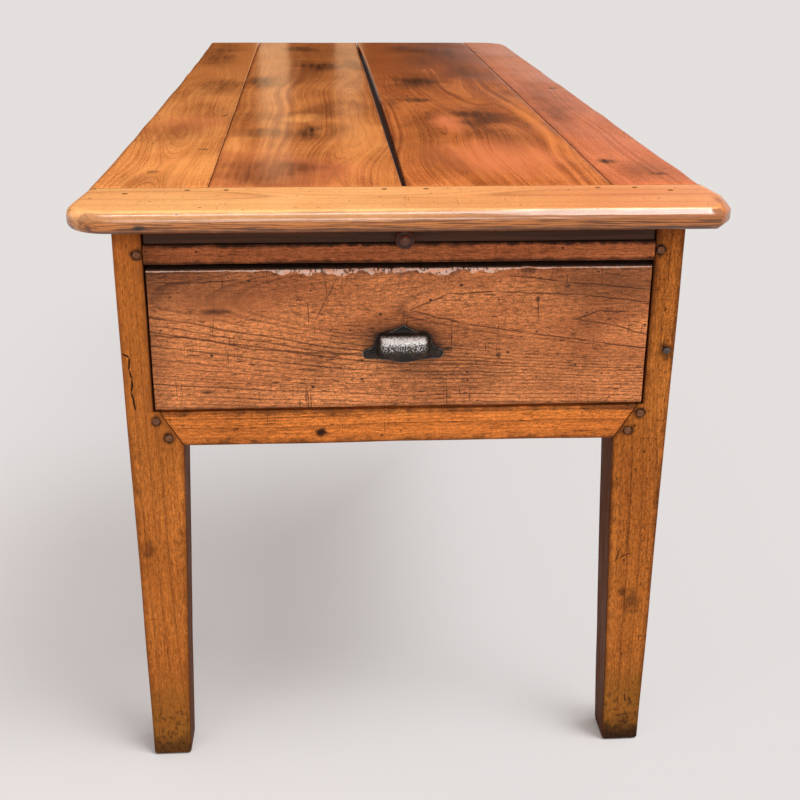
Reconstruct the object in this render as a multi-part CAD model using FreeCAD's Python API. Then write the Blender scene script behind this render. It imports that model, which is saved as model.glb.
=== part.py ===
import FreeCAD, Part
import math
import os

V = FreeCAD.Vector
X_AXIS = V(1, 0, 0)
Y_AXIS = V(0, 1, 0)
Z_AXIS = V(0, 0, 1)

# Top, in millimetres; +Z is up, the drawer end faces -Y, the origin is on the floor under the middle
TOP_HEIGHT = 760.0
TOP_THICKNESS = 25.0
TOP_LENGTH = 1886.0
BOARDS_WIDTH = 730.0
BOARDS_EDGE_SHARE = 0.2
LEFT_EDGE_HOLLOW = 5.0
FAR_CORNER_ROUND = 60.0
# Board joints: share of the width from the left edge at the near end, and the lean of each by the far end
JOINT_1_SHARE = 0.1914
JOINT_1_LEAN = -20.0
JOINT_2_SHARE = 0.5079
JOINT_2_LEAN = -9.0
JOINT_3_SHARE = 0.8511
JOINT_3_LEAN = 10.0
TIGHT_GAP = 0.6
OPEN_GAP = 5.0
OPEN_GAP_HOLLOW = 5.5
SPLINE_WIDTH = 26.0
SPLINE_THICKNESS = 6.0
SPLINE_END_INSET = 25.0

# Breadboard end
BREADBOARD_WIDTH = 130.0
BREADBOARD_LIP = 4.5
BREADBOARD_FLARE = 6.0
NOSE_SHARE = 0.44
LEFT_CORNER_ROUND = 50.0
RIGHT_CORNER_RUN = 63.0
RIGHT_CLIP_WIDTH = 26.0
RIGHT_CLIP_DEPTH = 30.0
RIGHT_CLIP_TUCK = 6.0
TONGUE_LENGTH = 42.0
TONGUE_THICKNESS = 8.0
TOP_PEG_DIAMETER = 6.5
TOP_PEG_SETBACK = 16.0
TOP_PEG_OUTER_SETBACK = 33.0
TOP_PEG_INSET = 22.0
TOP_PEG_OUTER_INSET = 48.0

# Frame
FRONT_OVERHANG = 73.0
REAR_OVERHANG = 73.0
SIDE_OVERHANG_SHARE = 0.0432
LEG_WIDTH = 69.5
LEG_DEPTH = 68.0
LEG_OUTER_TAPER = 3.0
FOOT_WIDTH = 49.5
FOOT_DEPTH = 52.0
FOOT_WEAR = 2.5
LEG_ARRIS = 3.0
SLIDE_SPACE = 29.0
UPPER_RAIL_HEIGHT = 24.0
DRAWER_OPENING = 183.0
LOWER_RAIL_HEIGHT = 45.0
RAIL_DEPTH = 45.0
MITRE_SHARE = 0.81
RAIL_TENON_END_WOOD = 10.0
RAIL_TENON_THICKNESS = 12.0
RAIL_TENON_SETBACK = 10.0
UPPER_TENON_SHOULDER = 3.0
LOWER_TENON_SHOULDER = 8.0
APRON_THICKNESS = 24.0
APRON_INSET = 5.0
GUIDE_THICKNESS = 6.0
APRON_TENON_SHARE = 0.56
APRON_TENON_THICKNESS = 10.0
APRON_TENON_HEIGHT = 90.0
APRON_TENON_SHOULDER = 26.0
FRAME_PEG_DIAMETER = 9.0
FRAME_PEG_BITE = 5.0
PEG_PROUD = 0.8
MITRE_PEG_SETBACK = 12.0
STILE_PEG_SETBACK = 7.0

# Iron nail driven into the right front leg
LEG_NAIL_SHARE = 0.38
LEG_NAIL_EDGE = 10.0
LEG_NAIL_HEAD = 9.0
LEG_NAIL_SHANK = 4.0
LEG_NAIL_END_WOOD = 4.0
LEG_NAIL_DOME = 2.2

# Runners, bearers and guides behind the front frame
CROSS_RAIL_GAP = 22.0
CROSS_RAIL_THICKNESS = 24.0
HOUSING_DEPTH = 8.0
RUNNER_WIDTH = 30.0
RUNNER_HEIGHT = 24.0
GUIDE_HEIGHT = 40.0
SMALL_NAIL_SHANK = 3.0
SMALL_NAIL_HEAD = 7.0
SMALL_NAIL_HEAD_THICKNESS = 1.2
SMALL_NAIL_BITE = 16.0
RUNNER_NAILS = 3
STOP_WIDTH = 40.0
STOP_HEIGHT = 9.0
STOP_DEPTH = 18.0
STOP_SPREAD = 300.0

# Drawer
DRAWER_LENGTH = 560.0
DRAWER_SIDE_CLEARANCE = 1.5
DRAWER_TOP_CLEARANCE = 5.0
DRAWER_FRONT_LIFT = 2.5
DRAWER_FRONT_THICKNESS = 24.0
DRAWER_FRONT_ARRIS = 1.5
DRAWER_SIDE_THICKNESS = 14.0
DRAWER_SIDE_DROP = 5.0
DRAWER_BACK_DROP = 12.0
DRAWER_BACK_THICKNESS = 14.0
DRAWER_BOTTOM_THICKNESS = 8.0
DRAWER_BOTTOM_LIFT = 12.0
DRAWER_BOTTOM_BOARDS = 3
DRAWER_GROOVE_DEPTH = 7.0
DRAWER_NAILS = 4
DRAWER_NAIL_INSET = 60.0
TAIL_LENGTH = 16.0
TAIL_WIDTH = 30.0
TAIL_FLARE = 2.6
FRONT_TAILS = 3
BACK_TAILS = 2

# Cast iron cup pull
PULL_SIDE_SHIFT = 2.0
PULL_RISE_SHARE = 0.356
PULL_EAR_REACH = 11.0
PULL_SCREW_RISE = 7.0
PULL_PLATE_THICKNESS = 3.0
PULL_PLATE_HEIGHT = 43.0
PULL_SHOULDER_INSET = 1.0
PULL_SHOULDER_DROP = 10.0
PULL_EAR_RADIUS = 6.5
PULL_RIM_WIDTH = 1.4
PULL_RIM_RISE = 0.9
CUP_WIDTH = 62.0
CUP_HEIGHT = 33.0
CUP_DEPTH = 25.0
CUP_WALL = 2.6
CUP_END_ROUND = 9.0
CUP_LIP_RISE = 7.0
CUP_LIP_DIP = 3.5
CUP_LIP_RUN = 20.0
PULL_SCREW_SHANK = 4.0
PULL_SCREW_HEAD = 8.5
PULL_SCREW_DOME = 2.4
PULL_SCREW_LENGTH = 18.0

# Bread slide
SLIDE_THICKNESS = 23.0
SLIDE_LENGTH = 480.0
SLIDE_SETBACK = 1.0
SLIDE_SIDE_CLEARANCE = 1.5
SLIDE_BOARDS = 3
SLIDE_TONGUE_LENGTH = 9.0
SLIDE_TONGUE_THICKNESS = 7.0
SLIDE_STOP_DIAMETER = 10.0
SLIDE_STOP_DROP = 12.0
SLIDE_STOP_INSET = 42.0
KNOB_DIAMETER = 23.0
KNOB_LENGTH = 21.0
KNOB_NECK = 11.0
KNOB_COLLAR = 12.0
KNOB_TENON = 7.0
KNOB_TENON_LENGTH = 22.0
KNOB_DROP = 5.5
KNOB_SIDE_SHIFT = 2.8

# Fixings of the top
BATTEN_WIDTH = 44.0
BATTEN_HEIGHT = 26.0
BATTEN_END_GAP = 0.6
MIDDLE_BATTEN_SHARE = 0.4
REAR_BATTEN_SHARE = 0.865
BATTEN_SCREW_SHANK = 5.0
BATTEN_SCREW_HEAD = 10.0
BATTEN_SCREW_HEAD_DEPTH = 3.0
BATTEN_SCREW_BITE = 15.0
BLOCK_SIZE = 26.0
BLOCK_LENGTH = 80.0
BLOCKS_PER_BAY = 2

# Clearances
PEG_FIT = 0.05
TENON_FIT = 0.2
RUNNING_GAP = 0.3

# Lines that the pieces share
HALF_LENGTH = TOP_LENGTH / 2
TOP_UNDERSIDE = TOP_HEIGHT - TOP_THICKNESS
TOP_MIDDLE = TOP_HEIGHT - TOP_THICKNESS / 2
BREADBOARD_JOINT = -HALF_LENGTH + BREADBOARD_WIDTH
JOINTS = [(JOINT_1_SHARE, JOINT_1_LEAN), (JOINT_2_SHARE, JOINT_2_LEAN), (JOINT_3_SHARE, JOINT_3_LEAN)]
FRAME_FRONT = -HALF_LENGTH + FRONT_OVERHANG
FRAME_REAR = HALF_LENGTH - REAR_OVERHANG
FRAME_MIDDLE = (FRAME_FRONT + FRAME_REAR) / 2
BREADBOARD_NOSE = TOP_THICKNESS * NOSE_SHARE
BOARDS_EDGE_ROUND = TOP_THICKNESS * BOARDS_EDGE_SHARE
STILE_WIDTH = APRON_INSET + APRON_THICKNESS + GUIDE_THICKNESS
MITRE_RUN = (LEG_WIDTH - STILE_WIDTH) * MITRE_SHARE
RAIL_TENON_LENGTH = STILE_WIDTH - RAIL_TENON_END_WOOD
APRON_TENON_LENGTH = LEG_DEPTH * APRON_TENON_SHARE
FRAME_PEG_LENGTH = RAIL_TENON_SETBACK + RAIL_TENON_THICKNESS + FRAME_PEG_BITE
LEG_NAIL_LENGTH = LEG_DEPTH - APRON_TENON_LENGTH - LEG_NAIL_END_WOOD
LEG_OUTER = BOARDS_WIDTH * (0.5 - SIDE_OVERHANG_SHARE)
LEG_INNER = LEG_OUTER - LEG_WIDTH
STILE_INNER = LEG_OUTER - STILE_WIDTH
FRONT_LEG_BACK = FRAME_FRONT + LEG_DEPTH
REAR_LEG_FRONT = FRAME_REAR - LEG_DEPTH
SLIDE_FLOOR = TOP_UNDERSIDE - SLIDE_SPACE
UPPER_RAIL_BOTTOM = SLIDE_FLOOR - UPPER_RAIL_HEIGHT
DRAWER_FLOOR = UPPER_RAIL_BOTTOM - DRAWER_OPENING
LOWER_RAIL_BOTTOM = DRAWER_FLOOR - LOWER_RAIL_HEIGHT
LEG_NAIL_HEIGHT = DRAWER_FLOOR + DRAWER_OPENING * LEG_NAIL_SHARE
RAIL_BACK = FRAME_FRONT + RAIL_DEPTH
APRON_OUTER = LEG_OUTER - APRON_INSET
APRON_INNER = APRON_OUTER - APRON_THICKNESS
REAR_APRON_OUTER = FRAME_REAR - APRON_INSET
REAR_APRON_INNER = REAR_APRON_OUTER - APRON_THICKNESS
DRAWER_HALF = STILE_INNER - DRAWER_SIDE_CLEARANCE
DRAWER_INNER_HALF = DRAWER_HALF - DRAWER_SIDE_THICKNESS
DRAWER_FRONT_BACK = FRAME_FRONT + DRAWER_FRONT_THICKNESS
DRAWER_END = FRAME_FRONT + DRAWER_LENGTH
DRAWER_BACK_FACE = DRAWER_END - DRAWER_BACK_THICKNESS
DRAWER_FRONT_LOW = DRAWER_FLOOR + DRAWER_FRONT_LIFT
DRAWER_FRONT_HIGH = UPPER_RAIL_BOTTOM - DRAWER_TOP_CLEARANCE
DRAWER_SIDE_LOW = DRAWER_FLOOR + RUNNING_GAP
DRAWER_SIDE_HIGH = DRAWER_FRONT_HIGH - DRAWER_SIDE_DROP
DRAWER_BOTTOM_LOW = DRAWER_FLOOR + DRAWER_BOTTOM_LIFT
DRAWER_BOTTOM_HIGH = DRAWER_BOTTOM_LOW + DRAWER_BOTTOM_THICKNESS
DRAWER_BACK_HIGH = DRAWER_SIDE_HIGH - DRAWER_BACK_DROP
PULL_LOWER_EDGE = DRAWER_FRONT_LOW + (DRAWER_FRONT_HIGH - DRAWER_FRONT_LOW) * PULL_RISE_SHARE
PULL_EAR = CUP_WIDTH / 2 + PULL_EAR_REACH
PULL_SHOULDER = CUP_WIDTH / 2 - PULL_SHOULDER_INSET
CROSS_RAIL_FRONT = DRAWER_END + CROSS_RAIL_GAP
CROSS_RAIL_BACK = CROSS_RAIL_FRONT + CROSS_RAIL_THICKNESS
SLIDE_HALF = STILE_INNER - SLIDE_SIDE_CLEARANCE
SLIDE_LOW = SLIDE_FLOOR + RUNNING_GAP
SLIDE_HIGH = SLIDE_LOW + SLIDE_THICKNESS
SLIDE_FRONT = FRAME_FRONT + SLIDE_SETBACK
SLIDE_END = SLIDE_FRONT + SLIDE_LENGTH


def box(x0, x1, y0, y1, z0, z1):
    """Block between two opposite corners, given in any order."""
    corner = V(min(x0, x1), min(y0, y1), min(z0, z1))
    return Part.makeBox(abs(x1 - x0), abs(y1 - y0), abs(z1 - z0), corner)


def grown_box(x0, x1, y0, y1, z0, z1, gap):
    """Block with the same gap added on every side, for a mortise or a groove."""
    low = [min(x0, x1) - gap, min(y0, y1) - gap, min(z0, z1) - gap]
    high = [max(x0, x1) + gap, max(y0, y1) + gap, max(z0, z1) + gap]
    return box(low[0], high[0], low[1], high[1], low[2], high[2])


def prism(points, sweep):
    """Solid swept from a closed flat outline along one vector."""
    return Part.Face(Part.makePolygon(points + points[:1])).extrude(sweep)


def rod(radius, start, sweep):
    """Round bar from a point along a vector."""
    return Part.makeCylinder(radius, sweep.Length, start, sweep)


def arc(start, middle, end):
    """Edge of a circle through three points."""
    return Part.Arc(start, middle, end).toShape()


def mirrored(shape, normal=X_AXIS, point=V(0, 0, 0)):
    """The same piece on the other side of the table."""
    return shape.mirror(point, normal)


def turned(profile, base, out):
    """Solid of revolution: (radius, distance) points along a direction, closed on the axis."""
    points = [V(radius, 0, along) for radius, along in profile]
    points = [V(0, 0, profile[0][1])] + points + [V(0, 0, profile[-1][1])]
    solid = Part.Face(Part.makePolygon(points + points[:1])).revolve(V(0, 0, 0), Z_AXIS, 360)
    solid.Placement = FreeCAD.Placement(base, FreeCAD.Rotation(Z_AXIS, out))
    return solid


def domed_head(head, dome, shank, length, base, out):
    """Fixing with a domed head that stands out of a face and a shank that goes into it."""
    steps = 4
    profile = [(shank / 2, -length), (shank / 2, 0), (head / 2, 0)]
    for step in range(1, steps):
        angle = math.pi / 2 * step / steps
        profile.append((head / 2 * math.cos(angle), dome * math.sin(angle)))
    profile.append((head / 20, dome))
    return turned(profile, base, out)


def joint_x(share, lean, y):
    """Place of a board joint across the top, at one distance along it."""
    along = (y - BREADBOARD_JOINT) / (HALF_LENGTH - BREADBOARD_JOINT)
    return BOARDS_WIDTH * (share - 0.5) + lean * along


def board_edges(number, y):
    """Left and right edges of a top board at one distance along the top."""
    half_gap = TIGHT_GAP / 2
    joints = [joint_x(share, lean, y) for share, lean in JOINTS]
    left = [-BOARDS_WIDTH / 2, joints[0] + half_gap, joints[1] + OPEN_GAP / 2, joints[2] + half_gap]
    right = [joints[0] - half_gap, joints[1] - OPEN_GAP / 2, joints[2] - half_gap, BOARDS_WIDTH / 2]
    return left[number], right[number]


def edge_line(near, far, hollow, z):
    """Long edge of a board, straight or hollowed towards +X by the given depth."""
    if hollow == 0:
        return Part.makeLine(V(near, BREADBOARD_JOINT, z), V(far, HALF_LENGTH, z))
    middle = V((near + far) / 2 + hollow, (BREADBOARD_JOINT + HALF_LENGTH) / 2, z)
    return arc(V(near, BREADBOARD_JOINT, z), middle, V(far, HALF_LENGTH, z))


def along_y(edge, x):
    """True for a long edge whose middle lies near one side of the top."""
    box_ = edge.BoundBox
    return box_.YLength > TOP_LENGTH / 2 and abs((box_.XMin + box_.XMax) / 2 - x) < LEFT_EDGE_HOLLOW + 1


def top_board(number):
    """Board of the top with its joint edges, its rounded outer edge and the tongue on its near end."""
    left_near, right_near = board_edges(number, BREADBOARD_JOINT)
    left_far, right_far = board_edges(number, HALF_LENGTH)
    hollow = [LEFT_EDGE_HOLLOW, 0, OPEN_GAP_HOLLOW, 0][number]
    low = TOP_UNDERSIDE
    edges = [edge_line(left_near, left_far, hollow, low),
             Part.makeLine(V(left_far, HALF_LENGTH, low), V(right_far, HALF_LENGTH, low)),
             edge_line(right_near, right_far, 0, low),
             Part.makeLine(V(right_near, BREADBOARD_JOINT, low), V(left_near, BREADBOARD_JOINT, low))]
    board = Part.Face(Part.Wire(Part.__sortEdges__(edges))).extrude(V(0, 0, TOP_THICKNESS))
    if number == 3:
        corner = [e for e in board.Edges if e.BoundBox.ZLength > TOP_THICKNESS / 2
                  and e.BoundBox.XMax > right_far - 1 and e.BoundBox.YMin > HALF_LENGTH - 1]
        board = board.makeFillet(FAR_CORNER_ROUND, corner)
    if number in (0, 3):
        side = left_near if number == 0 else right_near
        board = board.makeFillet(BOARDS_EDGE_ROUND, [e for e in board.Edges if along_y(e, side)])
    tongue_end = BREADBOARD_JOINT - TONGUE_LENGTH
    half = TONGUE_THICKNESS / 2
    tongue = box(left_near, right_near, tongue_end, BREADBOARD_JOINT, TOP_MIDDLE - half, TOP_MIDDLE + half)
    board = board.cut(top_splines(TENON_FIT)).fuse(tongue)
    return board.cut(top_peg_rods(PEG_FIT) + batten_screw_rods(PEG_FIT)).removeSplitter()


def top_splines(gap):
    """Loose tongues let into both boards along each joint, or their grooves when given a gap."""
    low = TOP_MIDDLE - SPLINE_THICKNESS / 2 - gap
    reach = SPLINE_WIDTH / 2 + gap
    start = BREADBOARD_JOINT
    end = HALF_LENGTH - SPLINE_END_INSET + gap
    splines = []
    for share, lean in JOINTS:
        near = joint_x(share, lean, start)
        far = joint_x(share, lean, end)
        outline = [V(near - reach, start, low), V(near + reach, start, low),
                   V(far + reach, end, low), V(far - reach, end, low)]
        splines.append(prism(outline, V(0, 0, SPLINE_THICKNESS + 2 * gap)))
    return splines


def top_peg_places():
    """Pegs that hold the tongues in the breadboard end, two to each board."""
    places = []
    for number in range(4):
        left, right = board_edges(number, BREADBOARD_JOINT)
        outer_left = number == 0
        outer_right = number == 3
        left_inset = TOP_PEG_OUTER_INSET if outer_left else TOP_PEG_INSET
        right_inset = TOP_PEG_OUTER_INSET if outer_right else TOP_PEG_INSET
        left_back = TOP_PEG_OUTER_SETBACK if outer_left else TOP_PEG_SETBACK
        right_back = TOP_PEG_OUTER_SETBACK if outer_right else TOP_PEG_SETBACK
        places.append((left + left_inset, BREADBOARD_JOINT - left_back))
        places.append((right - right_inset, BREADBOARD_JOINT - right_back))
    return places


def top_peg_rods(extra):
    """Round pegs through the breadboard end, or their holes when given extra radius."""
    radius = TOP_PEG_DIAMETER / 2 + extra
    return [rod(radius, V(x, y, TOP_UNDERSIDE), V(0, 0, TOP_THICKNESS)) for x, y in top_peg_places()]


def breadboard_outline():
    """Plan of the cross board: flared ends, a round left corner and a clipped right one."""
    low = TOP_UNDERSIDE
    front = -HALF_LENGTH
    back_half = BOARDS_WIDTH / 2 + BREADBOARD_LIP
    front_half = back_half + BREADBOARD_FLARE
    reach = LEFT_CORNER_ROUND * (1 - math.sqrt(0.5))
    round_start = V(-front_half, front + LEFT_CORNER_ROUND, low)
    round_end = V(-front_half + LEFT_CORNER_ROUND, front, low)
    outline = [round_end, V(front_half - RIGHT_CLIP_WIDTH, front, low),
               V(front_half - RIGHT_CLIP_TUCK, front + RIGHT_CLIP_DEPTH, low),
               V(front_half, front + RIGHT_CORNER_RUN, low), V(back_half, BREADBOARD_JOINT, low),
               V(-back_half, BREADBOARD_JOINT, low), round_start]
    edges = [Part.makeLine(*pair) for pair in zip(outline, outline[1:])]
    edges.append(arc(round_start, V(-front_half + reach, front + reach, low), round_end))
    return Part.Face(Part.Wire(Part.__sortEdges__(edges)))


def breadboard_end():
    """Cross board at the drawer end, bull-nosed in front and at its ends, grooved for the tongues."""
    board = breadboard_outline().extrude(V(0, 0, TOP_THICKNESS))
    nose = [e for e in board.Edges if e.BoundBox.ZLength < 1 and e.BoundBox.YMin < BREADBOARD_JOINT - 1]
    board = board.makeFillet(BREADBOARD_NOSE, nose)
    half = TONGUE_THICKNESS / 2 + TENON_FIT
    groove_end = BREADBOARD_JOINT - TONGUE_LENGTH - TENON_FIT
    reach = BOARDS_WIDTH / 2 + TENON_FIT
    groove = box(-reach, reach, groove_end, BREADBOARD_JOINT, TOP_MIDDLE - half, TOP_MIDDLE + half)
    return board.cut([groove] + top_peg_rods(PEG_FIT))


def leg_blank():
    """Right front leg before its joints: a post tapered on both inner faces and slightly on the outer one."""
    post = box(LEG_INNER, LEG_OUTER, FRAME_FRONT, FRONT_LEG_BACK, 0, TOP_UNDERSIDE)
    foot_outer = LEG_OUTER - LEG_OUTER_TAPER
    foot_inner = foot_outer - FOOT_WIDTH
    foot_back = FRAME_FRONT + FOOT_DEPTH
    deep = V(0, LEG_DEPTH, 0)
    wide = V(LEG_WIDTH, 0, 0)
    inner = prism([V(LEG_INNER, FRAME_FRONT, LOWER_RAIL_BOTTOM), V(LEG_INNER, FRAME_FRONT, 0),
                   V(foot_inner, FRAME_FRONT, 0)], deep)
    outer = prism([V(LEG_OUTER, FRAME_FRONT, TOP_UNDERSIDE), V(LEG_OUTER, FRAME_FRONT, 0),
                   V(foot_outer, FRAME_FRONT, 0)], deep)
    back = prism([V(LEG_INNER, FRONT_LEG_BACK, LOWER_RAIL_BOTTOM), V(LEG_INNER, FRONT_LEG_BACK, 0),
                  V(LEG_INNER, foot_back, 0)], wide)
    post = post.cut([inner, outer, back])
    post = post.makeChamfer(FOOT_WEAR, [e for e in post.Edges if e.BoundBox.ZMax < 0.01])
    long_edges = [e for e in post.Edges if e.BoundBox.ZLength > LOWER_RAIL_BOTTOM / 2
                  and e.BoundBox.YMax < FRAME_FRONT + 1]
    return post.makeFillet(LEG_ARRIS, long_edges)


def mitre_half(z):
    """Half the length of the lower rail's face at one height."""
    share = (z - LOWER_RAIL_BOTTOM) / LOWER_RAIL_HEIGHT
    return LEG_INNER + MITRE_RUN * share


def lower_rail_body():
    """Lower rail without tenons: its ends slope to the mitred shoulders."""
    top = mitre_half(DRAWER_FLOOR)
    bottom = mitre_half(LOWER_RAIL_BOTTOM)
    outline = [V(-bottom, FRAME_FRONT, LOWER_RAIL_BOTTOM), V(bottom, FRAME_FRONT, LOWER_RAIL_BOTTOM),
               V(top, FRAME_FRONT, DRAWER_FLOOR), V(-top, FRAME_FRONT, DRAWER_FLOOR)]
    return prism(outline, V(0, RAIL_DEPTH, 0))


def rail_tenon(low, high, gap):
    """Bar through a front rail whose ends are its two tenons, or their mortises when given a gap."""
    reach = STILE_INNER + RAIL_TENON_LENGTH
    front = FRAME_FRONT + RAIL_TENON_SETBACK
    return grown_box(-reach, reach, front, front + RAIL_TENON_THICKNESS, low, high, gap)


def upper_tenon(gap):
    """Tenons of the upper rail."""
    return rail_tenon(UPPER_RAIL_BOTTOM + UPPER_TENON_SHOULDER, SLIDE_FLOOR - UPPER_TENON_SHOULDER, gap)


def lower_tenon(gap):
    """Tenons of the lower rail."""
    return rail_tenon(LOWER_RAIL_BOTTOM + LOWER_TENON_SHOULDER, DRAWER_FLOOR - LOWER_TENON_SHOULDER, gap)


def front_peg_places():
    """Peg centres on the front of the frame: one for each end of the upper rail, two for the lower."""
    places = []
    for side in (-1, 1):
        places.append((side * (STILE_INNER + STILE_PEG_SETBACK), (UPPER_RAIL_BOTTOM + SLIDE_FLOOR) / 2))
        for share in (0.24, 0.74):
            z = LOWER_RAIL_BOTTOM + LOWER_RAIL_HEIGHT * share
            places.append((side * (mitre_half(z) + MITRE_PEG_SETBACK), z))
    return places


def front_peg_rods(extra, proud):
    """Pegs driven from the front through the rail tenons, or their holes when given extra radius."""
    radius = FRAME_PEG_DIAMETER / 2 + extra
    sweep = V(0, proud + FRAME_PEG_LENGTH, 0)
    return [rod(radius, V(x, FRAME_FRONT - proud, z), sweep) for x, z in front_peg_places()]


def apron_tenon_spans():
    """Lower and upper ends of the two tenons on each apron end."""
    low = LOWER_RAIL_BOTTOM + APRON_TENON_SHOULDER
    high = TOP_UNDERSIDE - APRON_TENON_SHOULDER
    return [(low, low + APRON_TENON_HEIGHT), (high - APRON_TENON_HEIGHT, high)]


def side_apron_tenons(gap):
    """Tenons of the right apron, front and rear."""
    middle = (APRON_INNER + APRON_OUTER) / 2
    x0 = middle - APRON_TENON_THICKNESS / 2
    x1 = middle + APRON_TENON_THICKNESS / 2
    tenons = []
    for low, high in apron_tenon_spans():
        front = FRONT_LEG_BACK - APRON_TENON_LENGTH
        rear = REAR_LEG_FRONT + APRON_TENON_LENGTH
        tenons.append(grown_box(x0, x1, front, FRONT_LEG_BACK, low, high, gap))
        tenons.append(grown_box(x0, x1, REAR_LEG_FRONT, rear, low, high, gap))
    return tenons


def rear_apron_tenons(gap):
    """Tenons of the rear apron, left and right."""
    middle = (REAR_APRON_INNER + REAR_APRON_OUTER) / 2
    y0 = middle - APRON_TENON_THICKNESS / 2
    y1 = middle + APRON_TENON_THICKNESS / 2
    tenons = []
    for side in (-1, 1):
        for low, high in apron_tenon_spans():
            end = side * (LEG_INNER + APRON_TENON_LENGTH)
            tenons.append(grown_box(side * LEG_INNER, end, y0, y1, low, high, gap))
    return tenons


def apron_peg_rods(extra, proud):
    """Pegs across the apron tenons: from the sides for the side aprons, from behind for the rear one."""
    radius = FRAME_PEG_DIAMETER / 2 + extra
    rods = []
    for low, high in apron_tenon_spans():
        z = (low + high) / 2
        for y in (FRONT_LEG_BACK - APRON_TENON_LENGTH / 2, REAR_LEG_FRONT + APRON_TENON_LENGTH / 2):
            face = outer_face_at(z)
            depth = face - APRON_INNER
            right = rod(radius, V(face + proud, y, z), V(-proud - depth, 0, 0))
            rods += [right, mirrored(right)]
        x = LEG_INNER + APRON_TENON_LENGTH / 2
        depth = FRAME_REAR - REAR_APRON_INNER
        right = rod(radius, V(x, FRAME_REAR + proud, z), V(0, -proud - depth, 0))
        rods += [right, mirrored(right)]
    return rods


def outer_face_at(z):
    """Outer face of a leg at one height, after its slight taper."""
    return LEG_OUTER - LEG_OUTER_TAPER * (TOP_UNDERSIDE - z) / TOP_UNDERSIDE


def front_leg(side):
    """Front leg: cut back to a narrow stile beside the drawer, with a mitred seat for the lower rail."""
    leg = leg_blank()
    notch = box(LEG_INNER, STILE_INNER, FRAME_FRONT, FRONT_LEG_BACK, DRAWER_FLOOR, TOP_UNDERSIDE)
    cuts = [notch, lower_rail_body(), lower_tenon(TENON_FIT), upper_tenon(TENON_FIT)]
    cuts += side_apron_tenons(TENON_FIT) + front_peg_rods(PEG_FIT, 1) + apron_peg_rods(PEG_FIT, 1)
    if side < 0:
        return mirrored(leg.cut(cuts))
    return leg.cut(cuts + [leg_nail_shape(PEG_FIT)])


def rear_leg(side):
    """Rear leg: the full square post up to the top."""
    leg = mirrored(leg_blank(), Y_AXIS, V(0, FRAME_MIDDLE, 0))
    cuts = side_apron_tenons(TENON_FIT) + rear_apron_tenons(TENON_FIT) + apron_peg_rods(PEG_FIT, 1)
    leg = leg.cut(cuts)
    return mirrored(leg) if side < 0 else leg


def leg_nail_shape(extra):
    """Hand-made nail with a domed head, low on the outer edge of the right front leg's face."""
    x = outer_face_at(LEG_NAIL_HEIGHT) - LEG_NAIL_EDGE
    base = V(x, FRAME_FRONT, LEG_NAIL_HEIGHT)
    return domed_head(LEG_NAIL_HEAD, LEG_NAIL_DOME, LEG_NAIL_SHANK + 2 * extra, LEG_NAIL_LENGTH + extra,
                      base, -Y_AXIS)


def front_upper_rail():
    """Rail between the bread slide and the drawer."""
    rail = box(-STILE_INNER, STILE_INNER, FRAME_FRONT, RAIL_BACK, UPPER_RAIL_BOTTOM, SLIDE_FLOOR)
    return rail.fuse(upper_tenon(0)).cut(front_peg_rods(PEG_FIT, 1)).removeSplitter()


def front_lower_rail():
    """Rail below the drawer, with mitred shoulders and pegged tenons."""
    rail = lower_rail_body().fuse(lower_tenon(0))
    return rail.cut(front_peg_rods(PEG_FIT, 1)).removeSplitter()


def side_apron(side):
    """Deep board between a front and a rear leg, housed for the cross rail."""
    apron = box(APRON_INNER, APRON_OUTER, FRONT_LEG_BACK, REAR_LEG_FRONT, LOWER_RAIL_BOTTOM, TOP_UNDERSIDE)
    apron = apron.fuse(side_apron_tenons(0))
    cuts = apron_peg_rods(PEG_FIT, 1) + [cross_rail_blank(TENON_FIT)] + runner_nail_rods(PEG_FIT)
    apron = apron.cut(cuts).removeSplitter()
    return mirrored(apron) if side < 0 else apron


def rear_apron():
    """Plain board between the rear legs."""
    apron = box(-LEG_INNER, LEG_INNER, REAR_APRON_INNER, REAR_APRON_OUTER, LOWER_RAIL_BOTTOM, TOP_UNDERSIDE)
    return apron.fuse(rear_apron_tenons(0)).cut(apron_peg_rods(PEG_FIT, 1)).removeSplitter()


def cross_rail_blank(gap):
    """Board across the frame behind the drawer, let into both aprons."""
    reach = APRON_INNER + HOUSING_DEPTH
    low = DRAWER_FLOOR - RUNNER_HEIGHT
    return grown_box(-reach, reach, CROSS_RAIL_FRONT, CROSS_RAIL_BACK, low, SLIDE_FLOOR, gap)


def cross_rail():
    """Cross rail at its real size."""
    return cross_rail_blank(0)


def strip(side, inner, outer, low, high):
    """Straight strip from the back of a front leg to the cross rail."""
    return box(side * inner, side * outer, FRONT_LEG_BACK, CROSS_RAIL_FRONT, low, high)


def runner_nail_places():
    """Heights and distances along of the nails that hold runners and bearers to the aprons."""
    span = CROSS_RAIL_FRONT - FRONT_LEG_BACK
    rows = [DRAWER_FLOOR - RUNNER_HEIGHT / 2, SLIDE_FLOOR - UPPER_RAIL_HEIGHT / 2]
    shares = [(place + 0.5) / RUNNER_NAILS for place in range(RUNNER_NAILS)]
    return [(FRONT_LEG_BACK + span * share, z) for z in rows for share in shares]


def small_nail(base, out, length, extra):
    """Flat-headed nail: the head stands on a face and the shank goes into it."""
    shank = SMALL_NAIL_SHANK / 2 + extra
    head = SMALL_NAIL_HEAD / 2
    profile = [(shank, -length - extra), (shank, 0), (head, 0), (head, SMALL_NAIL_HEAD_THICKNESS)]
    return turned(profile, base, out)


def runner_nail_rods(extra):
    """Nails through the runners and bearers, both sides."""
    nails = []
    for y, z in runner_nail_places():
        base = V(APRON_INNER - RUNNER_WIDTH, y, z)
        right = small_nail(base, -X_AXIS, RUNNER_WIDTH + SMALL_NAIL_BITE, extra)
        nails += [right, mirrored(right)]
    return nails


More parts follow.
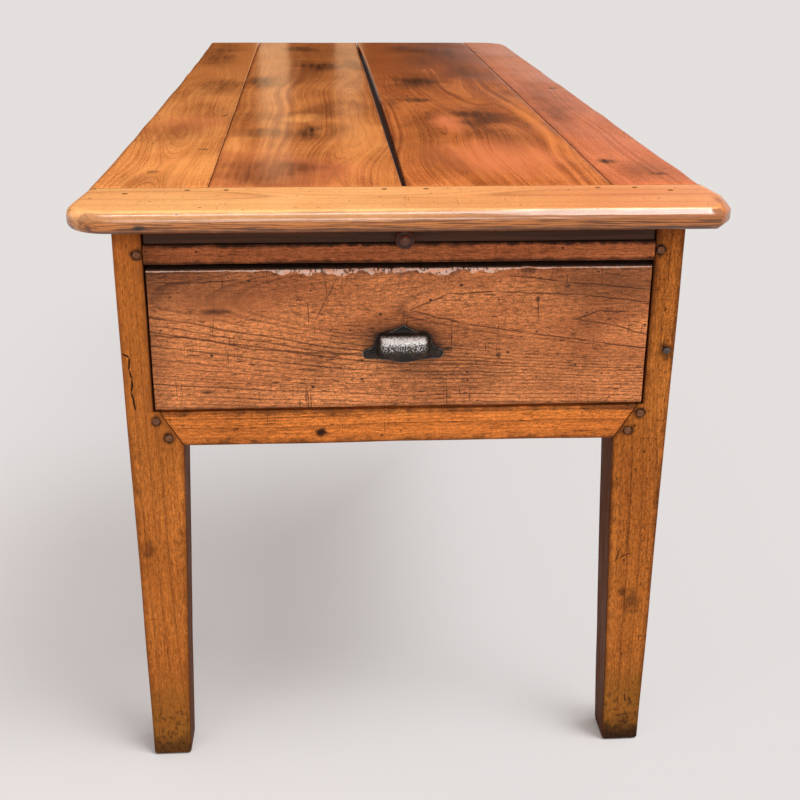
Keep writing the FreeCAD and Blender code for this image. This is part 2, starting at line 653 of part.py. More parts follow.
def drawer_runner(side):
    """Strip that carries one side of the drawer."""
    runner = strip(side, APRON_INNER - RUNNER_WIDTH, APRON_INNER, DRAWER_FLOOR - RUNNER_HEIGHT, DRAWER_FLOOR)
    return runner.cut(runner_nail_rods(PEG_FIT))


def slide_bearer(side):
    """Strip level with the upper rail: it carries the slide and keeps the open drawer from tipping."""
    bearer = strip(side, APRON_INNER - RUNNER_WIDTH, APRON_INNER, UPPER_RAIL_BOTTOM, SLIDE_FLOOR)
    return bearer.cut(runner_nail_rods(PEG_FIT))


def drawer_guide(side):
    """Thin strip on the runner, flush with the stile, that keeps the drawer straight."""
    return strip(side, STILE_INNER, APRON_INNER, DRAWER_FLOOR, DRAWER_FLOOR + GUIDE_HEIGHT)


def slide_guide(side):
    """Thin strip on the bearer, flush with the stile, that keeps the bread slide straight."""
    return strip(side, STILE_INNER, APRON_INNER, SLIDE_FLOOR, TOP_UNDERSIDE)


def drawer_stops():
    """Two small blocks on the lower rail that the back of the drawer front comes to rest on."""
    front = DRAWER_FRONT_BACK + RUNNING_GAP
    stops = []
    for side in (-1, 1):
        middle = side * STOP_SPREAD / 2
        stops.append(box(middle - STOP_WIDTH / 2, middle + STOP_WIDTH / 2, front, front + STOP_DEPTH,
                         DRAWER_FLOOR, DRAWER_FLOOR + STOP_HEIGHT))
    return stops


def tails(side, shoulder, end, low, high, count):
    """Dovetails of one drawer side: they widen from the shoulder to the end of the board."""
    pitch = (high - low) / count
    wide = TAIL_WIDTH / 2 + TAIL_FLARE
    narrow = TAIL_WIDTH / 2
    sweep = V(side * DRAWER_SIDE_THICKNESS, 0, 0)
    x = side * DRAWER_INNER_HALF
    solids = []
    for number in range(count):
        z = low + pitch * (number + 0.5)
        outline = [V(x, shoulder, z - narrow), V(x, end, z - wide),
                   V(x, end, z + wide), V(x, shoulder, z + narrow)]
        solids.append(prism(outline, sweep))
    return solids


def front_tails():
    """Tails of both sides in the drawer front; they stop short of its face."""
    end = DRAWER_FRONT_BACK - TAIL_LENGTH
    span = (DRAWER_FRONT_LOW, DRAWER_SIDE_HIGH)
    return [tail for side in (-1, 1) for tail in tails(side, DRAWER_FRONT_BACK, end, *span, FRONT_TAILS)]


def back_tails():
    """Tails of both sides that pass through the drawer back."""
    span = (DRAWER_BOTTOM_HIGH, DRAWER_BACK_HIGH)
    return [tail for side in (-1, 1) for tail in tails(side, DRAWER_BACK_FACE, DRAWER_END, *span, BACK_TAILS)]


def bottom_groove():
    """Groove around the drawer for its bottom, open at the back."""
    reach = DRAWER_INNER_HALF + DRAWER_GROOVE_DEPTH
    front = DRAWER_FRONT_BACK - DRAWER_GROOVE_DEPTH
    return box(-reach, reach, front, DRAWER_END + 1, DRAWER_BOTTOM_LOW, DRAWER_BOTTOM_HIGH)


def drawer_front():
    """Wide board with eased edges, dovetail sockets, a groove and the holes for the pull."""
    board = box(-DRAWER_HALF, DRAWER_HALF, FRAME_FRONT, DRAWER_FRONT_BACK,
                DRAWER_FRONT_LOW, DRAWER_FRONT_HIGH)
    face_edges = [e for e in board.Edges if e.BoundBox.YMax < FRAME_FRONT + 0.01]
    board = board.makeFillet(DRAWER_FRONT_ARRIS, face_edges)
    return board.cut(front_tails() + [bottom_groove()] + pull_screw_shapes(PEG_FIT))


def drawer_back():
    """Board at the back of the drawer, above the bottom, with pins between the tails."""
    board = box(-DRAWER_HALF, DRAWER_HALF, DRAWER_BACK_FACE, DRAWER_END, DRAWER_BOTTOM_HIGH, DRAWER_BACK_HIGH)
    return board.cut(back_tails() + drawer_nail_shapes(PEG_FIT))


def drawer_side(side):
    """Thin board with half-blind tails in front, through tails behind and a groove for the bottom."""
    board = box(side * DRAWER_INNER_HALF, side * DRAWER_HALF, DRAWER_FRONT_BACK, DRAWER_END,
                DRAWER_SIDE_LOW, DRAWER_SIDE_HIGH)
    mine = [tail for tail in front_tails() if tail.CenterOfMass.x * side > 0]
    back = drawer_back()
    return board.fuse(mine).cut([back, bottom_groove()]).removeSplitter()


def drawer_bottom(number):
    """One of the boards of the drawer bottom, grain across, laid front to back in the groove."""
    reach = DRAWER_INNER_HALF + DRAWER_GROOVE_DEPTH - TENON_FIT
    start = DRAWER_FRONT_BACK - DRAWER_GROOVE_DEPTH + TENON_FIT
    width = (DRAWER_END - start) / DRAWER_BOTTOM_BOARDS
    y0 = start + width * number
    board = box(-reach, reach, y0, y0 + width, DRAWER_BOTTOM_LOW, DRAWER_BOTTOM_HIGH)
    return board.cut(drawer_nail_shapes(PEG_FIT))


def drawer_nail_shapes(extra):
    """Nails driven up through the drawer bottom into its back."""
    span = 2 * (DRAWER_INNER_HALF - DRAWER_NAIL_INSET)
    nails = []
    for number in range(DRAWER_NAILS):
        x = -span / 2 + span * number / (DRAWER_NAILS - 1)
        base = V(x, (DRAWER_BACK_FACE + DRAWER_END) / 2, DRAWER_BOTTOM_LOW)
        nails.append(small_nail(base, -Z_AXIS, DRAWER_BOTTOM_THICKNESS + SMALL_NAIL_BITE, extra))
    return nails


def pull_point(x, z, out=0):
    """Point on the drawer face measured from the middle of the pull's lower edge."""
    return V(PULL_SIDE_SHIFT + x, FRAME_FRONT - out, PULL_LOWER_EDGE + z)


def pull_outline():
    """Outline of the back plate: pointed ogee top, round shoulders, hollow flanks and an ear at each end."""
    rise = PULL_SCREW_RISE
    high = PULL_PLATE_HEIGHT - PULL_SHOULDER_DROP
    ear_top = rise + PULL_EAR_RADIUS
    flank_low = (PULL_EAR, ear_top)
    flank_mid = (PULL_SHOULDER + (PULL_EAR - PULL_SHOULDER) * 0.4, ear_top + (high - ear_top) * 0.3)
    peak = (0, PULL_PLATE_HEIGHT)
    ogee_mid = (PULL_SHOULDER * 0.42, high + PULL_SHOULDER_DROP * 0.34)
    ogee_end = (PULL_SHOULDER * 0.86, high)
    round_mid = (PULL_SHOULDER * 1.04, high - PULL_SHOULDER_DROP * 0.3)
    round_end = (PULL_SHOULDER * 1.12, high - PULL_SHOULDER_DROP)
    ear_low = (PULL_EAR, rise - PULL_EAR_RADIUS)
    spans = [(peak, ogee_mid, ogee_end), (ogee_end, round_mid, round_end), (round_end, flank_mid, flank_low),
             (flank_low, (PULL_EAR + PULL_EAR_RADIUS, rise), ear_low)]
    edges = []
    for sign in (1, -1):
        for start, middle, end in spans:
            edges.append(arc(*[pull_point(sign * x, z) for x, z in (start, middle, end)]))
    edges.append(Part.makeLine(pull_point(*ear_low), pull_point(-PULL_EAR, ear_low[1])))
    return Part.Face(Part.Wire(Part.__sortEdges__(edges)))


def pull_plate():
    """Back plate with a fine raised rim round its edge."""
    face = pull_outline()
    rim = face.cut(face.makeOffset2D(-PULL_RIM_WIDTH))
    plate = face.extrude(V(0, -PULL_PLATE_THICKNESS, 0))
    return plate.fuse(rim.extrude(V(0, -PULL_PLATE_THICKNESS - PULL_RIM_RISE, 0)))


def hood_rim():
    """Raised line on the plate round the top and sides of the hood."""
    half = CUP_WIDTH / 2 + PULL_RIM_WIDTH
    high = CUP_HEIGHT + PULL_RIM_WIDTH
    rounding = CUP_END_ROUND + PULL_RIM_WIDTH
    reach = rounding * (1 - math.sqrt(0.5))
    edges = [Part.makeLine(pull_point(-half, 0), pull_point(half, 0)),
             Part.makeLine(pull_point(-half + rounding, high), pull_point(half - rounding, high))]
    for side in (-1, 1):
        low_end = pull_point(side * half, high - rounding)
        top_end = pull_point(side * (half - rounding), high)
        edges += [Part.makeLine(pull_point(side * half, 0), low_end),
                  arc(low_end, pull_point(side * (half - reach), high - reach), top_end)]
    rim = Part.Face(Part.Wire(Part.__sortEdges__(edges)))
    return rim.extrude(V(0, -PULL_PLATE_THICKNESS - PULL_RIM_RISE, 0))


def cup_solid(wall, below):
    """Hood of the pull: a rounded profile drawn along the drawer, with rounded ends."""
    half = CUP_WIDTH / 2 - wall
    depth = CUP_DEPTH - wall
    high = CUP_HEIGHT - wall
    edges = [Part.makeLine(pull_point(-half, -below), pull_point(-half, high)),
             arc(pull_point(-half, high), pull_point(-half, high * 0.8, depth * 0.74),
                 pull_point(-half, high * 0.36, depth)),
             Part.makeLine(pull_point(-half, high * 0.36, depth), pull_point(-half, -below, depth)),
             Part.makeLine(pull_point(-half, -below, depth), pull_point(-half, -below))]
    hood = Part.Face(Part.Wire(edges)).extrude(V(2 * half, 0, 0))
    front_half = FRAME_FRONT - depth / 2
    ends = [e for e in hood.Edges if e.BoundBox.XLength < 0.01 and e.BoundBox.ZLength > 1
            and e.BoundBox.YMin < front_half]
    return hood.makeFillet(CUP_END_ROUND - wall, ends)


def lip_cutter():
    """What is taken off below the hood: its front lip dips in the middle, its ends stay level."""
    half = CUP_WIDTH / 2 + 1
    lip = CUP_LIP_RISE
    left = pull_point(-CUP_LIP_RUN, lip)
    right = pull_point(CUP_LIP_RUN, lip)
    corners = [right, pull_point(half, lip), pull_point(half, -1), pull_point(-half, -1),
               pull_point(-half, lip), left]
    edges = [Part.makeLine(*pair) for pair in zip(corners, corners[1:])]
    edges.append(arc(left, pull_point(0, lip - CUP_LIP_DIP), right))
    return Part.Face(Part.Wire(edges)).extrude(V(0, -CUP_DEPTH - 1, 0))


def pull_screw_places():
    """Centres of the two screws in the ears."""
    return [pull_point(side * PULL_EAR, PULL_SCREW_RISE, PULL_PLATE_THICKNESS) for side in (-1, 1)]


def pull_screw_shapes(extra):
    """Round-headed screws of the pull, or their holes when given extra radius."""
    return [domed_head(PULL_SCREW_HEAD, PULL_SCREW_DOME, PULL_SCREW_SHANK + 2 * extra,
                       PULL_PLATE_THICKNESS + PULL_SCREW_LENGTH + extra, place, -Y_AXIS)
            for place in pull_screw_places()]


def cup_pull():
    """Cast cup pull: plate and hollow hood in one piece, open below for the fingers."""
    hood = cup_solid(0, 0).cut(lip_cutter())
    hollow = cup_solid(CUP_WALL, 1)
    pull = pull_plate().fuse([hood_rim(), hood])
    return pull.cut([hollow] + pull_screw_shapes(PEG_FIT)).removeSplitter()


def slide_board_lines():
    """Front and back edges of the boards of the slide."""
    width = SLIDE_LENGTH / SLIDE_BOARDS
    fronts = [SLIDE_FRONT + width * number for number in range(SLIDE_BOARDS)]
    return [(front, front + width) for front in fronts]


def slide_tongue(y, gap):
    """Tongue that runs across the slide from one board into the board in front of it."""
    half = SLIDE_TONGUE_THICKNESS / 2 + gap
    middle = (SLIDE_LOW + SLIDE_HIGH) / 2
    return box(-SLIDE_HALF, SLIDE_HALF, y - SLIDE_TONGUE_LENGTH - gap, y, middle - half, middle + half)


def slide_board(number):
    """One of the cross-grain boards of the bread slide."""
    lines = slide_board_lines()
    front, back = lines[number]
    board = box(-SLIDE_HALF, SLIDE_HALF, front, back, SLIDE_LOW, SLIDE_HIGH)
    if number > 0:
        board = board.fuse(slide_tongue(front, 0)).removeSplitter()
    if number < SLIDE_BOARDS - 1:
        board = board.cut(slide_tongue(back, TENON_FIT))
    return board.cut([slide_knob_shape(PEG_FIT), slide_stop_rod(PEG_FIT)])


def slide_knob_shape(extra):
    """Turned knob: tenon, collar, neck and a round head with a ring and a button on its face."""
    radius = KNOB_DIAMETER / 2
    tenon = KNOB_TENON / 2 + extra
    head_start = KNOB_LENGTH * 0.3
    head_span = KNOB_LENGTH - head_start
    profile = [(tenon, -KNOB_TENON_LENGTH - extra), (tenon, 0), (KNOB_COLLAR / 2, 0),
               (KNOB_COLLAR / 2, KNOB_LENGTH * 0.08), (KNOB_NECK / 2, KNOB_LENGTH * 0.18)]
    steps = 7
    for step in range(steps + 1):
        angle = math.radians(-60 + 120 * step / steps)
        along = head_start + head_span * (0.5 + math.sin(angle) / math.sqrt(3) * 0.9)
        profile.append((radius * math.cos(angle), along))
    profile += [(radius * 0.36, KNOB_LENGTH * 0.93), (radius * 0.3, KNOB_LENGTH), (radius * 0.1, KNOB_LENGTH)]
    base = V(KNOB_SIDE_SHIFT, SLIDE_FRONT, (SLIDE_LOW + SLIDE_HIGH) / 2 - KNOB_DROP)
    return turned(profile, base, -Y_AXIS)


def slide_stop_rod(extra):
    """Peg under the rear of the slide that meets the upper rail when the slide is drawn out."""
    y = SLIDE_END - SLIDE_STOP_INSET
    sweep = V(0, 0, SLIDE_STOP_DROP + SLIDE_THICKNESS)
    return rod(SLIDE_STOP_DIAMETER / 2 + extra, V(0, y, SLIDE_LOW - SLIDE_STOP_DROP), sweep)


def batten_lines():
    """Front edges of the two battens under the top."""
    run = FRAME_REAR - CROSS_RAIL_BACK
    return [CROSS_RAIL_BACK + run * share for share in (MIDDLE_BATTEN_SHARE, REAR_BATTEN_SHARE)]


def top_batten(y):
    """Batten across the underside of the boards, between the aprons."""
    reach = APRON_INNER - BATTEN_END_GAP
    batten = box(-reach, reach, y, y + BATTEN_WIDTH, TOP_UNDERSIDE - BATTEN_HEIGHT, TOP_UNDERSIDE)
    return batten.cut(batten_screw_rods(PEG_FIT))


def batten_screw_rods(extra):
    """Screws up through the battens, one into each board of the top."""
    shank = BATTEN_SCREW_SHANK / 2 + extra
    head = BATTEN_SCREW_HEAD / 2
    length = BATTEN_HEIGHT + BATTEN_SCREW_BITE + extra
    profile = [(shank, -length), (shank, -BATTEN_SCREW_HEAD_DEPTH), (head + extra, extra)]
    screws = []
    for line in batten_lines():
        y = line + BATTEN_WIDTH / 2
        for number in range(4):
            left, right = board_edges(number, y)
            left = max(left + SPLINE_WIDTH / 2, -APRON_INNER)
            right = min(right - SPLINE_WIDTH / 2, APRON_INNER)
            base = V((left + right) / 2, y, TOP_UNDERSIDE - BATTEN_HEIGHT)
            screws.append(turned(profile, base, -Z_AXIS))
    return screws


def glue_blocks():
    """Blocks rubbed into the corners between the aprons and the top, spaced between rail and battens."""
    middle, rear = batten_lines()
    bays = [(CROSS_RAIL_BACK, middle), (middle + BATTEN_WIDTH, rear)]
    blocks = []
    for start, end in bays:
        room = (end - start - BLOCKS_PER_BAY * BLOCK_LENGTH) / (BLOCKS_PER_BAY + 1)
        for number in range(BLOCKS_PER_BAY):
            y = start + room + (room + BLOCK_LENGTH) * number
            right = box(APRON_INNER - BLOCK_SIZE, APRON_INNER, y, y + BLOCK_LENGTH,
                        TOP_UNDERSIDE - BLOCK_SIZE, TOP_UNDERSIDE)
            blocks += [right, mirrored(right)]
    return blocks


def all_nodes():
    """Every piece of the table by name."""
    group = Part.makeCompound
    nodes = {"top_board_%d" % (number + 1): top_board(number) for number in range(4)}
    nodes["breadboard_end"] = breadboard_end()
    nodes["breadboard_pegs"] = group(top_peg_rods(0))
    nodes["top_splines"] = group(top_splines(0))
    for side, name in ((-1, "left"), (1, "right")):
        nodes["leg_front_" + name] = front_leg(side)
        nodes["leg_rear_" + name] = rear_leg(side)
        nodes["side_apron_" + name] = side_apron(side)
        nodes["drawer_runner_" + name] = drawer_runner(side)
        nodes["drawer_guide_" + name] = drawer_guide(side)
        nodes["slide_bearer_" + name] = slide_bearer(side)
        nodes["slide_guide_" + name] = slide_guide(side)
        nodes["drawer_side_" + name] = drawer_side(side)
    nodes["rear_apron"] = rear_apron()
    nodes["front_upper_rail"] = front_upper_rail()
    nodes["front_lower_rail"] = front_lower_rail()
    nodes["front_frame_pegs"] = group(front_peg_rods(0, PEG_PROUD))
    nodes["apron_pegs"] = group(apron_peg_rods(0, PEG_PROUD))
    nodes["leg_nail"] = leg_nail_shape(0)
    nodes["cross_rail"] = cross_rail()
    nodes["runner_nails"] = group(runner_nail_rods(0))
    nodes["drawer_stops"] = group(drawer_stops())
    nodes["drawer_front"] = drawer_front()
    nodes["drawer_back"] = drawer_back()
    for number in range(DRAWER_BOTTOM_BOARDS):
        nodes["drawer_bottom_%d" % (number + 1)] = drawer_bottom(number)
    nodes["drawer_nails"] = group(drawer_nail_shapes(0))
    nodes["cup_pull"] = cup_pull()
    nodes["pull_screws"] = group(pull_screw_shapes(0))
    for number in range(SLIDE_BOARDS):
        nodes["slide_board_%d" % (number + 1)] = slide_board(number)
    nodes["slide_knob"] = slide_knob_shape(0)
    nodes["slide_stop"] = slide_stop_rod(0)
    for name, line in zip(("middle", "rear"), batten_lines()):
        nodes["top_batten_" + name] = top_batten(line)
    nodes["batten_screws"] = group(batten_screw_rods(0))
    nodes["glue_blocks"] = group(glue_blocks())
    return nodes


os.makedirs("parts", exist_ok=True)
for node_name, node_shape in all_nodes().items():
    node_shape.exportStep(os.path.join("parts", node_name + ".step"))
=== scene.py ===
"""Looks of an old farmhouse table: worn fruitwood boards, a cast cup pull and a plain studio."""

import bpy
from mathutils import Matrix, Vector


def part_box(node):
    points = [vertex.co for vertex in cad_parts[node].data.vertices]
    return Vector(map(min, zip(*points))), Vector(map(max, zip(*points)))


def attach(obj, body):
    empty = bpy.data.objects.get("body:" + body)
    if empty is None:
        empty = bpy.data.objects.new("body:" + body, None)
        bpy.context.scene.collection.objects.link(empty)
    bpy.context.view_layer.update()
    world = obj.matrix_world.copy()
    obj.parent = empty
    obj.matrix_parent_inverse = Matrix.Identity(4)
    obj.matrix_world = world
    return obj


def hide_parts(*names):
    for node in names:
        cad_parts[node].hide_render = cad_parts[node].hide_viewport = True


bl_info = {
    "name": "Farmhouse Table",
    "version": (1, 0, 0),
    "blender": (4, 5, 0),
    "location": "3D View > Sidebar > Table",
    "description": "Dresses the packed table with worn wood and iron, and sets up a plain studio",
    "category": "Object",
}

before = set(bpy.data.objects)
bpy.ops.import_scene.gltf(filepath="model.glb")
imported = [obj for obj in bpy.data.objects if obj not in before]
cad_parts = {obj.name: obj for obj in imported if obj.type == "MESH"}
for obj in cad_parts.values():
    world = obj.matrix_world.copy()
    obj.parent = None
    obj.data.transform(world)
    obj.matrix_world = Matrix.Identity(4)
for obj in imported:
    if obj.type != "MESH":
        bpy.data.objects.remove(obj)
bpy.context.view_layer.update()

import itertools
import math

import bmesh
import bpy
import numpy as np
from bpy.props import FloatProperty, FloatVectorProperty, PointerProperty
from mathutils import Euler, Matrix, Vector

# Axes of the shared frame: across, lengthwise and up, and a quarter turn about one of them
X, Y, Z = range(3)
QUARTER = math.pi / 2

# Hair's breadth that keeps two worn faces from lying in one plane, and a finer one at the legs and the drawer
CLEAR = 0.0004
FINE_CLEAR = 0.0003

# Lines of the top, in metres, as the solids have them
HALF_BOARDS = 0.365
TOP_Z = 0.760
TOP_LOW = 0.735
JOINT_Y = -0.813
FAR_Y = 0.943
JOINTS_NEAR = (-0.2253, 0.0058, 0.2563)
JOINTS_FAR = (-0.2453, -0.0032, 0.2663)
TIGHT_HALF_GAP = 0.0005
OPEN_HALF_GAP = 0.0025
OPEN_HOLLOW = 0.0055
LEFT_HOLLOW = 0.005
FAR_CORNER = 0.060

# Lines of the breadboard end
BREADBOARD_FRONT = -0.943
BREADBOARD_BACK_HALF = 0.3695
BREADBOARD_FRONT_HALF = 0.3755
LEFT_CORNER = 0.050
RIGHT_RUN = 0.063
CLIP = (0.026, 0.030, 0.006)

# Lines of the frame
FRAME_FRONT = -0.870
FRAME_REAR = 0.870
LEG_BACK = -0.802
LEG_OUTER = 0.3335
LEG_INNER = 0.264
LEG_OUTER_TAPER = 0.0030
FOOT_INNER = 0.281
FOOT_BACK_TAPER = 0.016
STILE_INNER = 0.2985
RAIL_LOW = 0.454
DRAWER_FLOOR = 0.499
MITRE_RUN = 0.028
RAIL_BACK = -0.825


def measure(name, description, default):
    """A length that a user would change."""
    return FloatProperty(name=name, description=description, default=default, unit="LENGTH")


class TableSizes(bpy.types.PropertyGroup):
    """Sizes of the wear that a user would change."""

    joint_arris: measure("Joint arris", "Rounding of the boards along their joints", 0.0011)
    outer_arris: measure("Outer arris", "Rounding of the long edges of the top", 0.0055)
    leg_arris: measure("Leg arris", "Rounding of the legs' corners", 0.0032)
    rail_arris: measure("Rail arris", "Rounding of the rails and aprons", 0.0018)
    drawer_arris: measure("Drawer arris", "Rounding of the drawer front", 0.0020)
    chew: measure("Chewed edge", "Depth of the splintered top edge of the drawer front", 0.0070)
    wander: measure("Wander", "How far a hand-planed face leaves a true plane", 0.00035)
    nose_round: measure("Nose round", "Rounding of the breadboard's left half", 0.0120)
    nose_flat: measure("Nose flat", "Chamfer rubbed on the breadboard's right half", 0.0074)
    foot_round: measure("Foot round", "Wear round the bottom of each leg", 0.0050)
    casting_grain: measure("Casting grain", "Depth of the pits in the cast pull", 0.00022)


def colour(name, description, default):
    """A colour that a user would change."""
    return FloatVectorProperty(name=name, description=description, default=default,
                               subtype="COLOR", size=3, min=0, max=1)


class TableColours(bpy.types.PropertyGroup):
    """Colours of the finishes."""

    board_1: colour("Board 1", "Honey wood of the left board", (0.93, 0.355, 0.1))
    board_1_deep: colour("Board 1 deep", "Deep tone of the left board", (0.66, 0.205, 0.052))
    board_2: colour("Board 2", "Second board of the top", (0.780, 0.265, 0.068))
    board_2_deep: colour("Board 2 deep", "Deep tone of the second board", (0.460, 0.125, 0.032))
    board_3: colour("Board 3", "Third board of the top", (0.760, 0.225, 0.058))
    board_3_deep: colour("Board 3 deep", "Deep tone of the third board", (0.400, 0.095, 0.020))
    board_4: colour("Board 4", "Redder right board", (0.76, 0.212, 0.08))
    board_4_deep: colour("Board 4 deep", "Deep tone of the right board", (0.57, 0.144, 0.05))
    breadboard: colour("Breadboard", "Golden cross board", (1, 0.5, 0.185))
    breadboard_deep: colour("Breadboard deep", "Deep tone of the cross board", (0.86, 0.35, 0.112))
    drawer: colour("Drawer", "Face of the drawer", (0.93, 0.328, 0.106))
    drawer_deep: colour("Drawer deep", "Deep tone of the drawer face", (0.57, 0.176, 0.054))
    leg: colour("Leg", "Legs", (0.58, 0.186, 0.034))
    leg_deep: colour("Leg deep", "Deep tone of the legs", (0.38, 0.108, 0.019))
    rail: colour("Lower rail", "Lower rail and aprons", (0.95, 0.285, 0.055))
    rail_deep: colour("Lower rail deep", "Deep tone of the lower rail", (0.66, 0.18, 0.034))
    upper_rail: colour("Upper rail", "Redder upper rail", (0.56, 0.175, 0.062))
    upper_rail_deep: colour("Upper rail deep", "Deep tone of the upper rail", (0.335, 0.096, 0.034))
    # Umber is also laid on as painted shade: at the upper ends and inner faces of the legs, across the upper
    # drawer face, at the foot of the breadboard's front and on its nose.
    umber: colour("Umber", "Dark lines of the grain", (0.085, 0.025, 0.008))
    smoke: colour("Smoke", "Brown clouds in the top", (0.150, 0.040, 0.012))
    stain: colour("Stain", "Old stains in the top", (0.035, 0.014, 0.008))
    olive: colour("Olive", "Wear above the feet and under the nose", (0.23, 0.092, 0.014))
    strip: colour("Strip", "Front edge of the bread slide", (0.034, 0.0145, 0.0085))
    knob: colour("Knob", "Dark turned knob", (0.085, 0.028, 0.02))
    peg: colour("Peg", "End grain of the pegs", (0.22, 0.084, 0.034))
    carcass: colour("Carcass", "Unpolished inner wood", (0.44, 0.235, 0.105))
    carcass_dark: colour("Carcass dark", "Grain of the unpolished wood", (0.2, 0.095, 0.04))
    # The bare wood of the chewed edge is pale partly as a painted highlight.
    splinter: colour("Splinter", "Bare wood of chewed edges", (0.86, 0.6, 0.49))
    # Grime also serves as painted shade: the near-black top of the drawer face, the top of the slide's front
    # edge and the splines in the open joint.
    grime: colour("Grime", "Dirt in corners and cracks", (0.020, 0.010, 0.007))
    iron: colour("Iron", "Dark casting", (0.020, 0.0165, 0.015))
    # This pale colour is also painted highlight: along iron edges, on the pull's hood and as a grey
    # reflection in the open joint of the top.
    iron_bright: colour("Iron bright", "Casting rubbed bright by hands", (0.88, 0.87, 0.85))
    rust: colour("Rust", "Brown film on the iron", (0.050, 0.030, 0.021))


class TableStage(bpy.types.PropertyGroup):
    """Floor and light."""

    floor: colour("Floor", "Plain pale floor", (0.768, 0.738, 0.728))
    key: FloatProperty(name="Overhead light", description="Power of the strip over the drawer end",
                       default=26.0, unit="POWER")
    sun: FloatProperty(name="Side light", description="Strength of the broad light from above on the right",
                       default=1.36)
    front: FloatProperty(name="Front light", description="Strength of the low light from the front",
                         default=0.68)
    sky: FloatProperty(name="Room light", description="Strength of the light from all round", default=0.66)
    window: FloatProperty(name="Window light", description="Power of the panels that the top mirrors",
                          default=0.30, unit="POWER")
    even: FloatProperty(name="Even floor", subtype="FACTOR", default=0.42, min=0, max=1,
                        description="Share of the floor that shows its plain colour unlit")


def sizes():
    return bpy.context.scene.table_sizes


def tint(name):
    """A finish colour with full opacity."""
    return (*getattr(bpy.context.scene.table_colours, name), 1.0)


# Mesh making


# Numbers with no common measure, which scatter the values of neighbouring cells
SCATTER = (127.1, 311.7, 74.7)
SEED_STEP = 53.3
SCATTER_SPAN = 43758.5453


def cell_values(cell, seed):
    """A repeatable value from -1 to 1 for each cell of a grid."""
    wave = np.sin(cell @ np.array(SCATTER) + seed * SEED_STEP) * SCATTER_SPAN
    return (wave - np.floor(wave)) * 2 - 1


def soft_noise(points, size, seed):
    """Smooth noise from -1 to 1 whose bumps are about one size across."""
    scaled = np.asarray(points) / size
    cell = np.floor(scaled)
    share = scaled - cell
    share = share * share * (3 - 2 * share)
    total = 0
    for corner in itertools.product((0, 1), repeat=3):
        weight = np.prod(np.where(np.array(corner) == 1, share, 1 - share), axis=-1)
        total = total + weight * cell_values(cell + np.array(corner), seed)
    return total


def line_noise(places, size, seed):
    """Smooth noise along one line."""
    points = np.stack([places, np.zeros_like(places), np.zeros_like(places)], -1)
    return soft_noise(points, size, seed)


def stations(start, end, cell, rounding, extra=()):
    """Places along a piece, and how far the ring at each draws in so that the ends are eased."""
    turn = np.radians([0, 30, 60])
    steps = rounding * (1 - np.cos(turn))
    drawn = rounding * (1 - np.sin(turn))
    count = max(2, int(round((end - start - 2 * rounding) / cell)) + 1)
    inner = np.unique(np.concatenate([np.linspace(start + rounding, end - rounding, count), extra]))
    places = np.concatenate([start + steps, inner, (end - steps)[::-1]])
    insets = np.concatenate([drawn, np.zeros(len(inner)), drawn[::-1]])
    return places, insets


# Cells round an arris, share of a face beside it that has its own row of points, and how far its wear fades
CORNER_CELLS = 4
ARRIS_ROW = 0.015
WEAR_FADE = 0.006
INWARD = ((1, 1), (-1, 1), (-1, -1), (1, -1))


def rounded_rings(sides, radii, cells):
    """Rounded rectangles, one to a station, and how near each point is to an arris."""
    low_u, high_u, low_v, high_v = sides
    corner_u = np.stack([low_u, high_u, high_u, low_u], 1)
    corner_v = np.stack([low_v, low_v, high_v, high_v], 1)
    angles = np.linspace(0, QUARTER, CORNER_CELLS + 1)
    arcs = []
    for corner, (step_u, step_v) in enumerate(INWARD):
        radius = radii[:, corner:corner + 1]
        turn = math.pi * (1 + corner / 2) + angles
        arcs.append(np.stack([corner_u[:, corner:corner + 1] + radius * (step_u + np.cos(turn)),
                              corner_v[:, corner:corner + 1] + radius * (step_v + np.sin(turn))], -1))
    points, marks = [], []
    for corner in range(4):
        start = arcs[corner][:, -1:]
        end = arcs[(corner + 1) % 4][:, :1]
        count = cells[corner % 2]
        share = np.concatenate([[ARRIS_ROW], np.linspace(0, 1, count + 1)[1:-1], [1 - ARRIS_ROW]])
        share = share[None, :, None]
        span = np.linalg.norm(end - start, axis=-1)
        away = np.minimum(share, 1 - share)[..., 0] * span
        points += [arcs[corner], start + (end - start) * share]
        marks += [np.ones(arcs[corner].shape[:2]), np.exp(-away / WEAR_FADE)]
    return np.concatenate(points, 1), np.concatenate(marks, 1)


def new_object(name, mesh):
    """Object for a mesh, in the scene."""
    piece = bpy.data.objects.new(name, mesh)
    bpy.context.scene.collection.objects.link(piece)
    return piece


def outward(mesh):
    """Turns the faces of a closed mesh outwards."""
    work = bmesh.new()
    work.from_mesh(mesh)
    bmesh.ops.recalc_face_normals(work, faces=work.faces)
    work.to_mesh(mesh)
    work.free()


def mesh_from(name, points, faces, flat, marks):
    """Mesh with smooth faces apart from the flat ones, and its closeness to an arris as an attribute."""
    mesh = bpy.data.meshes.new(name)
    mesh.from_pydata(points.tolist(), [], faces)
    smooth = np.ones(len(faces), bool)
    smooth[list(flat)] = False
    mesh.polygons.foreach_set("use_smooth", smooth)
    mesh.attributes.new("edge", "FLOAT", "POINT").data.foreach_set("value", marks.astype(np.float32))
    mesh.update()
    outward(mesh)
    return mesh


def skin(name, rings, marks):
    """Closed mesh over a row of like rings."""
    count, size, _ = rings.shape
    index = np.arange(count * size).reshape(count, size)
    after = np.roll(index, -1, axis=1)
    quads = np.stack([index[:-1], after[:-1], after[1:], index[1:]], -1).reshape(-1, 4)
    faces = quads.tolist() + [index[0][::-1].tolist(), index[-1].tolist()]
    return mesh_from(name, rings.reshape(-1, 3), faces, (-1, -2), marks.reshape(-1))


# Axes along, across and through a piece whose grain runs along each axis
AXES = {X: (X, Y, Z), Y: (Y, X, Z), Z: (Z, X, Y)}

